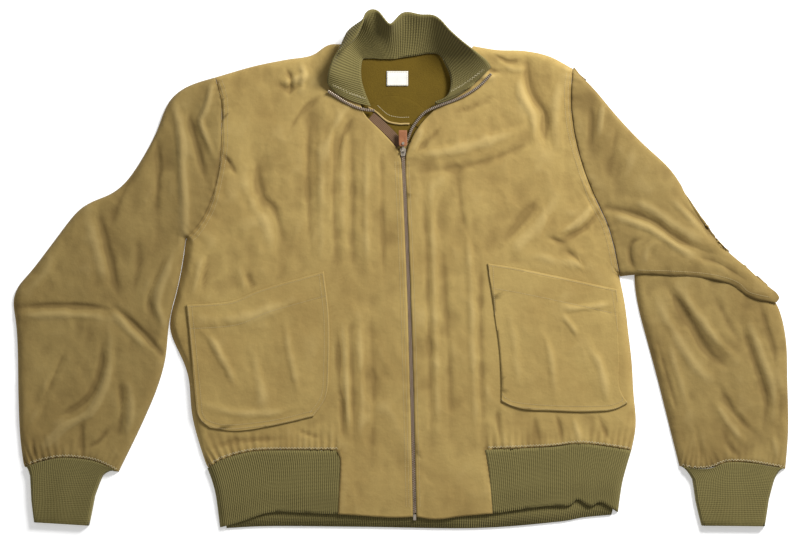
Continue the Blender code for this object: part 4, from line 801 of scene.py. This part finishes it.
def makeBackBand():
    columns = int(lengthOf(backBand["hem"]) / ribLook["pitch"]) * ribLook["perRib"]
    rowsDown = 6
    seam, hem = movedAside(smoothLine(backBand["seam"], columns), -0.3), smoothLine(backBand["hem"], columns)
    grid = np.zeros((rowsDown + 1, columns + 1, 3))
    for row, share in enumerate(np.linspace(0, 1, rowsDown + 1)):
        grid[row, :, :2] = seam * (1 - share) + hem * share
        grid[row, :, 2] = 3.1
    ribs = np.tile(ribWave(columns + 1, lengthOf(backBand["hem"])), (rowsDown + 1, 1))
    lengthwise = np.repeat(np.linspace(0, 50, rowsDown + 1)[:, None], columns + 1, axis=1)
    piece = gridPiece("bandBack", grid, ribs, lengthwise)
    finishKnit(piece, "band_back", (0.62, 0.11), None, [])


makeBackBand()

cuffLook = {"height": 9.2, "roll": 5.5, "rows": 12, "length": 84}
cuffs = {
    "cuffRight": {"node": "cuff_right", "seam": edges["cuffSeamRight"], "sections": [
        {"start": (-563, -298.5), "end": (-426.5, -304)}, {"start": (-557, -322), "end": (-447, -321)},
        {"start": (-555, -352), "end": (-459, -345)}, {"start": (-551, -378), "end": (-468, -383)}]},
    "cuffLeft": {"node": "cuff_left", "seam": edges["cuffSeamLeft"], "sections": [
        {"start": (421, -300.5), "end": (573, -300.5)}, {"start": (436, -326), "end": (560, -326)},
        {"start": (441, -352), "end": (551, -352)}, {"start": (450, -383), "end": (545, -384)}]},
}


def makeCuff(name, cuff):
    sections, seam = cuff["sections"], smoothLine(cuff["seam"], 40)
    width = sections[0]["end"][0] - sections[0]["start"][0]
    across = int(width / ribLook["pitch"]) * ribLook["perRib"]
    under = across // 4
    shares = np.linspace(0, 1, len(sections))
    wave = ribWave(across + 1, width)
    rings, ribRows = [], []
    for share in np.linspace(0, 1, cuffLook["rows"] + 1):
        start, end = [np.array([np.interp(share, shares, [row[side][axis] for row in sections]) for axis in (0, 1)])
                      for side in ("start", "end")]
        wide = float(np.linalg.norm(end - start))
        ring, waves = [], []
        for number in range(across + 1):
            run = wide * number / across
            near = min(run, wide - run)
            lift = math.sin(math.acos(1 - min(max(near, 0) / cuffLook["roll"], 1)))
            place = start + (end - start) * number / across
            level = np.interp(place[0], seam[:, 0], seam[:, 1]) - 0.3
            bend = (level - place[1]) * (1 - share)**2
            sag = 0.5 * math.sin(number / 13 + share * 3) * lift * math.sin(math.pi * share)
            ring.append((place[0], place[1] + bend, (cuffLook["height"] + sag) * lift + 0.02))
            waves.append(1 + (wave[number] - 1) * max(lift, 0.1))
        for number in range(1, under):
            place = end + (start - end) * number / under
            level = np.interp(place[0], seam[:, 0], seam[:, 1]) - 0.3
            ring.append((place[0], place[1] + (level - place[1]) * (1 - share)**2, 0.02))
            waves.append(1.0)
        rings.append(ring)
        ribRows.append(waves)
    grid = np.array(rings)
    lengthwise = np.repeat(np.linspace(0, 40, len(rings))[:, None], grid.shape[1], axis=1)
    piece = gridPiece(name, grid, np.array(ribRows), lengthwise, closed=True)
    soloSelect(piece)
    bpy.ops.object.mode_set(mode="EDIT")
    bpy.ops.mesh.select_all(action="SELECT")
    bpy.ops.mesh.normals_make_consistent(inside=False)
    bpy.ops.object.mode_set(mode="OBJECT")
    top = max(piece.data.polygons, key=lambda face: face.center.z)
    if top.normal.z < 0:
        piece.data.flip_normals()
    finishKnit(piece, cuff["node"], (0.245, 0.083), None, [])


for name, cuff in cuffs.items():
    makeCuff(name, cuff)

# Stations round the collar from the right end of the zip to the left end
collarStations = [
    {"foot": (-46, 245.5, 12.2), "waist": (-79, 255, 12.6), "rim": (-107.5, 272.5, 14)},
    {"foot": (-53, 262, 12.2), "waist": (-84, 272, 14.5), "rim": (-111, 281, 20)},
    {"foot": (-59, 283, 12.2), "waist": (-88, 291, 19), "rim": (-107, 297, 32)},
    {"foot": (-60, 303, 10.5), "waist": (-87, 315, 20), "rim": (-97, 319, 40)},
    {"foot": (-57, 316, 7.2), "waist": (-84, 337, 19), "rim": (-83, 330, 43)},
    {"foot": (-48, 317, 6.4), "waist": (-76, 354, 20), "rim": (-67, 346, 45)},
    {"foot": (-40, 317, 6.4), "waist": (-60, 360, 22), "rim": (-57, 366, 44)},
    {"foot": (-32, 316, 6.4), "waist": (-43, 354, 20), "rim": (-50, 384, 40)},
    {"foot": (-24, 316, 6.4), "waist": (-31, 350, 18), "rim": (-37, 386, 37)},
    {"foot": (-12, 316, 6.4), "waist": (-16, 345, 19), "rim": (-17, 365, 41)},
    {"foot": (2, 318, 6.4), "waist": (4, 350, 18), "rim": (4, 383, 36)},
    {"foot": (22, 321, 6.4), "waist": (26, 350, 18), "rim": (28, 380, 36)},
    {"foot": (40, 324, 6.4), "waist": (46, 351, 19), "rim": (51, 377, 38)},
    {"foot": (56, 322, 7.4), "waist": (66, 342, 22), "rim": (72, 355, 42)},
    {"foot": (66, 306, 9.6), "waist": (84, 328, 25), "rim": (91, 338, 43)},
    {"foot": (73, 288, 12), "waist": (98, 306, 25), "rim": (112, 323, 40)},
    {"foot": (73, 270, 12.4), "waist": (104, 289, 19), "rim": (127, 312, 32)},
    {"foot": (66, 257, 12.4), "waist": (100, 275, 14.5), "rim": (134, 303, 21)},
    {"foot": (50, 250, 12.4), "waist": (88.5, 264.8, 12.8), "rim": (129.5, 298, 15)},
]


def throughStations(points, columns):
    rows = np.arange(len(points), dtype=float)
    wanted = np.linspace(0, rows[-1], columns + 1)
    spans = np.clip(wanted.astype(int), 0, len(points) - 2)
    share = (wanted - spans)[:, None]
    slopes = np.gradient(points, rows, axis=0)
    return (points[spans] * (2 * share**3 - 3 * share**2 + 1) + slopes[spans] * (share**3 - 2 * share**2 + share)
            + points[spans + 1] * (3 * share**2 - 2 * share**3) + slopes[spans + 1] * (share**3 - share**2))


def makeCollar():
    table = {name: np.array([row[name] for row in collarStations], float) for name in ("foot", "waist", "rim")}
    length = lengthOf(table["waist"])
    columns = round(length / ribLook["pitch"]) * ribLook["perRib"]
    lines = {name: throughStations(points, columns) for name, points in table.items()}
    grid = []
    for share in np.linspace(0, 1, 17):
        foot, waist, rim = (1 - share) * (1 - 2 * share), 4 * share * (1 - share), share * (2 * share - 1)
        grid.append(lines["foot"] * foot + lines["waist"] * waist + lines["rim"] * rim)
    grid = np.array(grid)
    grid[:, :, 2] += 1.2
    ribs = np.tile(ribWave(columns + 1, length), (17, 1))
    ribs[-2:] *= 0.4
    lengthwise = np.repeat(np.linspace(0, 26, 17)[:, None], columns + 1, axis=1)
    piece = gridPiece("collarKnit", grid, ribs, lengthwise)
    finishKnit(piece, "collar", (0.40, 0.06), None, ["frontRight", "frontLeft"])


makeCollar()
print("knit made")


# What shows in the neck
neckFolds = [(1.5, 14, [(-40, 262), (0, 266), (50, 270)]), (-1.5, 9, [(-17, 256), (20, 257), (53, 254)]),
             (1.2, 16, [(-40, 300), (20, 306), (70, 300)])]
neckPieces = {
    "neckLining": {"node": "back_lining", "flat": (0.17, 0.14), "area": 0.0175, "rests": ["backPanel"], "depth": 1.0},
    "windFlap": {"node": "wind_flap", "flat": (0.09, 0.045), "area": 0.0026, "rests": ["neckLining"], "depth": 1.0},
}
for name, facts in neckPieces.items():
    piece = underSheet(name, facts["node"], 5, facts["depth"], neckFolds)
    dress(piece, [facts["node"]], "jacket", lining)
    clothPieces[name] = facts
    dressed[name] = piece


def sweptTube(name, path, acrossHalf, upHalf, count, sides=8):
    # a rounded strip along a path, closed at both ends
    line = smoothLine(path, count)
    ways = sideways(line)
    points = []
    for place, way in zip(line, ways):
        for side in range(sides):
            angle = 2 * math.pi * (side + 0.5) / sides
            points.append((*(place[:2] + way * acrossHalf * math.cos(angle)), place[2] + upHalf * math.sin(angle)))
    faces = [(ring * sides + side, ring * sides + (side + 1) % sides, (ring + 1) * sides + (side + 1) % sides,
              (ring + 1) * sides + side) for ring in range(count) for side in range(sides)]
    faces += [tuple(range(sides)), tuple(range(count * sides, (count + 1) * sides))]
    mesh = bpy.data.meshes.new(name)
    mesh.from_pydata([tuple(np.array(point) * mm) for point in points], [], faces)
    shape = bmesh.new()
    shape.from_mesh(mesh)
    bmesh.ops.recalc_face_normals(shape, faces=shape.faces)
    shape.to_mesh(mesh)
    shape.free()
    mesh.shade_smooth()
    made = bpy.data.objects.new(name, mesh)
    bpy.context.scene.collection.objects.link(made)
    return made


def addOn(piece, material, body="jacket"):
    piece.data.materials.clear()
    piece.data.materials.append(material)
    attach(piece, body)


pipingPath = [(-50, 244, 5.6), (-38, 237, 5.6), (-21, 223, 5.6), (-4, 219, 5.6), (5, 219, 5.6), (12, 219, 5.6)]
piping = sweptTube("flapPiping", pipingPath, 1.5, 1.0, 40)
addOn(piping, pipingCotton)

labelLook = {"middle": (-6, 287), "wide": 32, "long": 22, "level": 4.62, "thick": 0.4}


def makeLabel():
    bpy.ops.object.select_all(action="DESELECT")
    bpy.ops.mesh.primitive_grid_add(x_subdivisions=16, y_subdivisions=11, size=1)
    piece = bpy.context.object
    piece.name = "bareLabel"
    places = verticesOf(piece.data)
    x, y = labelLook["middle"]
    curl = 0.35 * np.abs(places[:, 0] * 2)**3 + 0.15 * np.sin(places[:, 1] * 9)
    places[:, 0] = (x + places[:, 0] * labelLook["wide"]) * mm
    places[:, 1] = (y + places[:, 1] * labelLook["long"]) * mm
    places[:, 2] = (labelLook["level"] + labelLook["thick"] + 0.2 + np.maximum(curl, 0)) * mm
    piece.data.vertices.foreach_set("co", places.ravel())
    piece.data.update()
    applyModifier(piece, "SOLIDIFY", thickness=labelLook["thick"] * mm, offset=-1.0)
    piece.data.shade_smooth()
    dress(piece, ["size_label"], "jacket", labelWhite)
    clothPieces[piece.name] = {"flat": (0.032, 0.022), "area": None, "rests": ["neckLining"]}
    dressed[piece.name] = piece


makeLabel()
print("neck made")


# What repeats is modelled once and copied along its lines
def modelOf(piece):
    mesh = piece.data
    found = verticesOf(mesh), [tuple(face.vertices) for face in mesh.polygons]
    bpy.data.objects.remove(piece)
    return found


def toothModel():
    bpy.ops.object.select_all(action="DESELECT")
    bpy.ops.mesh.primitive_cube_add(size=1)
    piece = bpy.context.object
    bpy.ops.object.mode_set(mode="EDIT")
    bpy.ops.mesh.bevel(offset=0.16, segments=1)
    bpy.ops.object.mode_set(mode="OBJECT")
    return modelOf(piece)


def stitchModel():
    bpy.ops.object.select_all(action="DESELECT")
    bpy.ops.mesh.primitive_cylinder_add(vertices=6, radius=0.5, depth=1, rotation=(0, math.pi / 2, 0))
    piece = bpy.context.object
    bpy.ops.object.transform_apply(location=True, rotation=True, scale=True)
    bpy.ops.object.mode_set(mode="EDIT")
    bpy.ops.mesh.bevel(offset=0.2, segments=1)
    bpy.ops.object.mode_set(mode="OBJECT")
    return modelOf(piece)


def copied(name, model, placed, material, smooth=True):
    # placed: middle, long way, width across, height, all as vectors or numbers in millimetres
    corners, faces = model
    points, cells = [], []
    for middle, way, wide, high in placed:
        length = float(np.linalg.norm(way))
        ahead = way / length
        beside = np.cross((0, 0, 1), ahead)
        beside /= np.linalg.norm(beside)
        up = np.cross(ahead, beside)
        turned = corners[:, :1] * ahead * length + corners[:, 1:2] * beside * wide + corners[:, 2:] * up * high
        cells += [tuple(corner + len(points) for corner in face) for face in faces]
        points += [tuple(point) for point in (turned + middle) * mm]
    mesh = bpy.data.meshes.new(name)
    mesh.from_pydata(points, [], cells)
    if smooth:
        mesh.shade_smooth()
    made = bpy.data.objects.new(name, mesh)
    bpy.context.scene.collection.objects.link(made)
    addOn(made, material)
    return made


trees = {name: BVHTree.FromPolygons([vertex.co for vertex in piece.data.vertices],
                                    [tuple(face.vertices) for face in piece.data.polygons])
         for name, piece in dressed.items()}


def surfaceAt(point, names):
    best = None
    for name in names:
        hit = trees[name].ray_cast(Vector((point[0] * mm, point[1] * mm, 0.2)), Vector((0, 0, -1)))[0]
        if hit is not None and (best is None or hit.z > best):
            best = hit.z
    return None if best is None else best / mm


stitchLook = {"pitch": 3.1, "long": 2.5, "wide": 0.75, "high": 0.6, "zigzag": 1.5, "zigzagPitch": 2.2}


def stitchesAlong(line, names, zigzag=False):
    pitch = stitchLook["zigzagPitch"] if zigzag else stitchLook["pitch"]
    count = int(lengthOf(line) / pitch)
    marks = evenly(np.array(line, float), count)
    if zigzag:
        marks = marks + sideways(marks) * stitchLook["zigzag"] * np.where(np.arange(count + 1) % 2, 1, -1)[:, None]
    placed = []
    for start, end in zip(marks[:-1], marks[1:]):
        share = 1 if zigzag else stitchLook["long"] / pitch
        levels = [surfaceAt(point, names) for point in (start, end)]
        if None in levels or abs(levels[0] - levels[1]) > 2.5:
            continue
        lift = 0.1
        first, last = np.array([*start, levels[0] + lift]), np.array([*end, levels[1] + lift])
        placed.append(((first + last) / 2, (last - first) * share, stitchLook["wide"], stitchLook["high"]))
    return placed


bodyNames = ["frontRight", "frontLeft", "sleeveRight", "sleeveLeftUpper", "sleeveLeftForearm"]
stitch = stitchModel()


def pocketRows(pocket):
    corners, rows = pocketOutline(pocket), []
    for name, distances in (("outer", (2.2, 8)), ("inner", (2.2, 8)), ("bottom", (2.2, 8)), ("top", (3, 36))):
        line = smoothLine(pocket[name], 60)
        for distance in distances:
            inward = movedAside(line, distance)
            if not insideOf(corners, inward[30:31])[0]:
                inward = movedAside(line, -distance)
            rows.append(inward[insideOf(corners, inward)])
    return rows


def makeStitching():
    armholes = []
    for name, side in (("armholeRight", 1), ("armholeLeft", -1)):
        line = smoothLine(edges[name], 80)
        for distance in (3.2, 8.5):
            armholes += stitchesAlong(movedAside(line, side * distance)[2:-2], bodyNames)
    copied("armholeStitching", stitch, armholes, thread)
    zipLine = smoothLine(edges["zip"], 60)
    placket = []
    for distance in (-8.2, -12.5, 8.2):
        placket += stitchesAlong(movedAside(zipLine, distance)[1:-1], bodyNames)
    copied("placketStitching", stitch, placket, thread)
    for name, piece in (("pocket_right", "pocketRight"), ("pocket_left", "pocketLeft")):
        rows = []
        for line in pocketRows(pockets[name]):
            rows += stitchesAlong(line, [piece])
        copied(piece + "Stitching", stitch, rows, thread)
    arm = stitchesAlong(movedAside(smoothLine(edges["lowerArm"], 60), 7)[1:-3], ["sleeveLeftUpper"])
    copied("armStitching", stitch, arm, thread)
    joins = []
    for name, distance in (("seamRight", 3.2), ("seamLeft", -3.2), ("cuffSeamRight", 3.0), ("cuffSeamLeft", 3.0)):
        joins += stitchesAlong(movedAside(smoothLine(edges[name], 60), distance)[1:-1], bodyNames, zigzag=True)
    copied("joinStitching", stitch, joins, paleThread)
    ends = []
    for line in ([(-54, 256), (-80, 266), (-103, 277)], [(66, 263), (98, 281), (125, 301)]):
        ends += stitchesAlong(smoothLine(line, 30), ["collarKnit"], zigzag=True)
    copied("collarStitching", stitch, ends, paleThread)
    flap = stitchesAlong(smoothLine([(-36, 247), (-20, 233), (-4, 229), (12, 229)], 30), ["windFlap"])
    copied("flapStitching", stitch, flap, paleThread)
    x, y = labelLook["middle"]
    wide, long = labelLook["wide"] / 2 - 1.2, labelLook["long"] / 2 - 1.2
    corners = [(x - wide, y - long), (x + wide, y - long), (x + wide, y + long), (x - wide, y + long)]
    sewn = []
    for start, end in zip(corners, corners[1:] + corners[:1]):
        sewn += stitchesAlong(evenly(np.array([start, end], float), 12), ["bareLabel"])
    copied("labelStitching", stitch, sewn, paleThread)


makeStitching()
print("stitching made")

# Zip
toothLook = {"pitch": 2.7, "along": 1.45, "across": 2.4, "high": 2.6}
tooth = toothModel()


def closedTeeth():
    line = smoothLine(edges["zip"], int(lengthOf(edges["zip"]) / toothLook["pitch"]) * 2)
    ways = sideways(line)
    placed = []
    for number, (place, way) in enumerate(zip(line, ways)):
        side = 1 if number % 2 else -1
        level = 7.5 + 2.3 * np.clip((place[1] + 368) / 34, 0, 1) - 1.15
        middle = np.array([*(place + way * side * 1.25), level])
        placed.append((middle, np.array([*way, 0]) * toothLook["across"], toothLook["along"], toothLook["high"]))
    return copied("teethClosed", tooth, placed, metal, smooth=False)


closedTeeth()
openHalves = {
    "teethLeft": {"node": "zip_left", "lean": 1,
                  "path": [(4.2, 186, 8.6), (10.6, 198, 8.6), (16, 211.5, 8.6), (26, 226, 9.2), (37, 236.8, 11.8),
                           (57, 246, 12.4), (81, 254.6, 12.4), (102, 265, 12.6), (119, 277, 13.2), (134, 293, 15)]},
    "teethRight": {"node": "zip_right", "lean": -1,
                   "path": [(-41, 238.4, 12.2), (-56.6, 240.2, 12.2), (-73.8, 246, 12.2), (-87, 253, 12.6),
                            (-99.6, 261, 13), (-109, 267, 14)]},
}
for name, half in openHalves.items():
    cord = sweptTube(name + "Tape", [(x, y, z - 0.9) for x, y, z in half["path"]], 2.1, 1.1, 50)
    addOn(cord, tape)
    line = smoothLine(half["path"], int(lengthOf(half["path"]) / toothLook["pitch"]))
    placed = []
    for place, way in zip(line, sideways(line)):
        middle = place + np.array([*(way * 0.3 * half["lean"]), 0.35])
        placed.append((middle, np.array([*way, 0]) * 3.8, toothLook["along"], 1.7))
    teeth = copied(name, tooth, placed, metal, smooth=False)
    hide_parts(half["node"])

for name, finish in (("zip_closed", tape), ("zip_tape_right", tape), ("zip_box", metal), ("zip_slider", metal),
                     ("zip_link", metal), ("tab_rivet", metal)):
    frame["nodes"][name].data.materials.clear()
    frame["nodes"][name].data.materials.append(finish)

tabLook = {"x": 2.6, "start": 185.2, "long": 24, "wide": 12.5, "bottom": 14.1, "thick": 1.9}


def makeTab():
    bpy.ops.object.select_all(action="DESELECT")
    bpy.ops.mesh.primitive_cube_add(size=1)
    piece = bpy.context.object
    piece.name = "leatherTab"
    bpy.ops.object.mode_set(mode="EDIT")
    bpy.ops.mesh.subdivide(number_cuts=7)
    bpy.ops.object.mode_set(mode="OBJECT")
    places = verticesOf(piece.data)
    across, along = places[:, 0] * 2, places[:, 1] + 0.5
    narrow = 1 - 0.26 * np.clip(1 - along / 0.12, 0, 1) - 0.05 * np.clip((along - 0.9) / 0.1, 0, 1)
    places[:, 0] = (tabLook["x"] + across / 2 * tabLook["wide"] * narrow - 0.4 * along) * mm
    places[:, 1] = (tabLook["start"] + along * tabLook["long"]) * mm
    rim = np.clip(1 - 0.3 * np.maximum(np.abs(across)**8, np.abs(2 * along - 1)**10), 0, 1)
    middle = tabLook["bottom"] + tabLook["thick"] / 2
    places[:, 2] = (middle + places[:, 2] * tabLook["thick"] * rim) * mm
    piece.data.vertices.foreach_set("co", places.ravel())
    piece.data.update()
    applyModifier(piece, "BEVEL", width=0.25 * mm, segments=2, limit_method="ANGLE")
    piece.data.shade_smooth()
    dress(piece, ["leather_tab"], "pull", leather)


makeTab()
print("zip made")

# Each dressed piece's facts are looked up; nothing else is done with them
for name, piece in dressed.items():
    facts = clothPieces[name]

# Floor, light and camera
studio = {"floorSize": 16, "seenWide": 1.2, "height": 6.0, "middle": (-0.002, -0.00825), "sensor": 36}
bpy.ops.mesh.primitive_plane_add(size=studio["floorSize"], location=(0, 0, -0.0004))
floor = bpy.context.object
floor.name = "paleFloor"
floorWhite, floorShader, floorStart = newMaterial("floorWhite", 0.9)
floorShader.inputs["Base Color"].default_value = (0.93, 0.93, 0.93, 1)
floorShader.inputs["Emission Color"].default_value = (1, 1, 1, 1)
floorShader.inputs["Emission Strength"].default_value = 0.32
floor.data.materials.append(floorWhite)

lamps = [
    {"name": "keyLight", "place": (1.5, 1.7, 1.6), "size": 0.9, "power": 120},
    {"name": "fillLight", "place": (-1.6, -1.2, 2.4), "size": 2.4, "power": 6},
]
for lamp in lamps:
    bpy.ops.object.light_add(type="AREA", location=lamp["place"])
    light = bpy.context.object
    light.name = lamp["name"]
    light.data.energy, light.data.size = lamp["power"], lamp["size"]
    light.rotation_euler = (-Vector(lamp["place"])).to_track_quat("-Z", "Y").to_euler()
world = bpy.data.worlds.new("studioWorld")
bpy.context.scene.world = world
world.use_nodes = True
world.node_tree.nodes["Background"].inputs["Color"].default_value = (1, 1, 1, 1)
world.node_tree.nodes["Background"].inputs["Strength"].default_value = 0.3

bpy.ops.object.camera_add(location=(*studio["middle"], studio["height"]))
camera = bpy.context.object
camera.data.sensor_width = studio["sensor"]
camera.data.lens = studio["sensor"] * studio["height"] / studio["seenWide"]
bpy.context.scene.camera = camera
bpy.context.scene.view_settings.view_transform = "Standard"

bpy.context.view_layer.update()
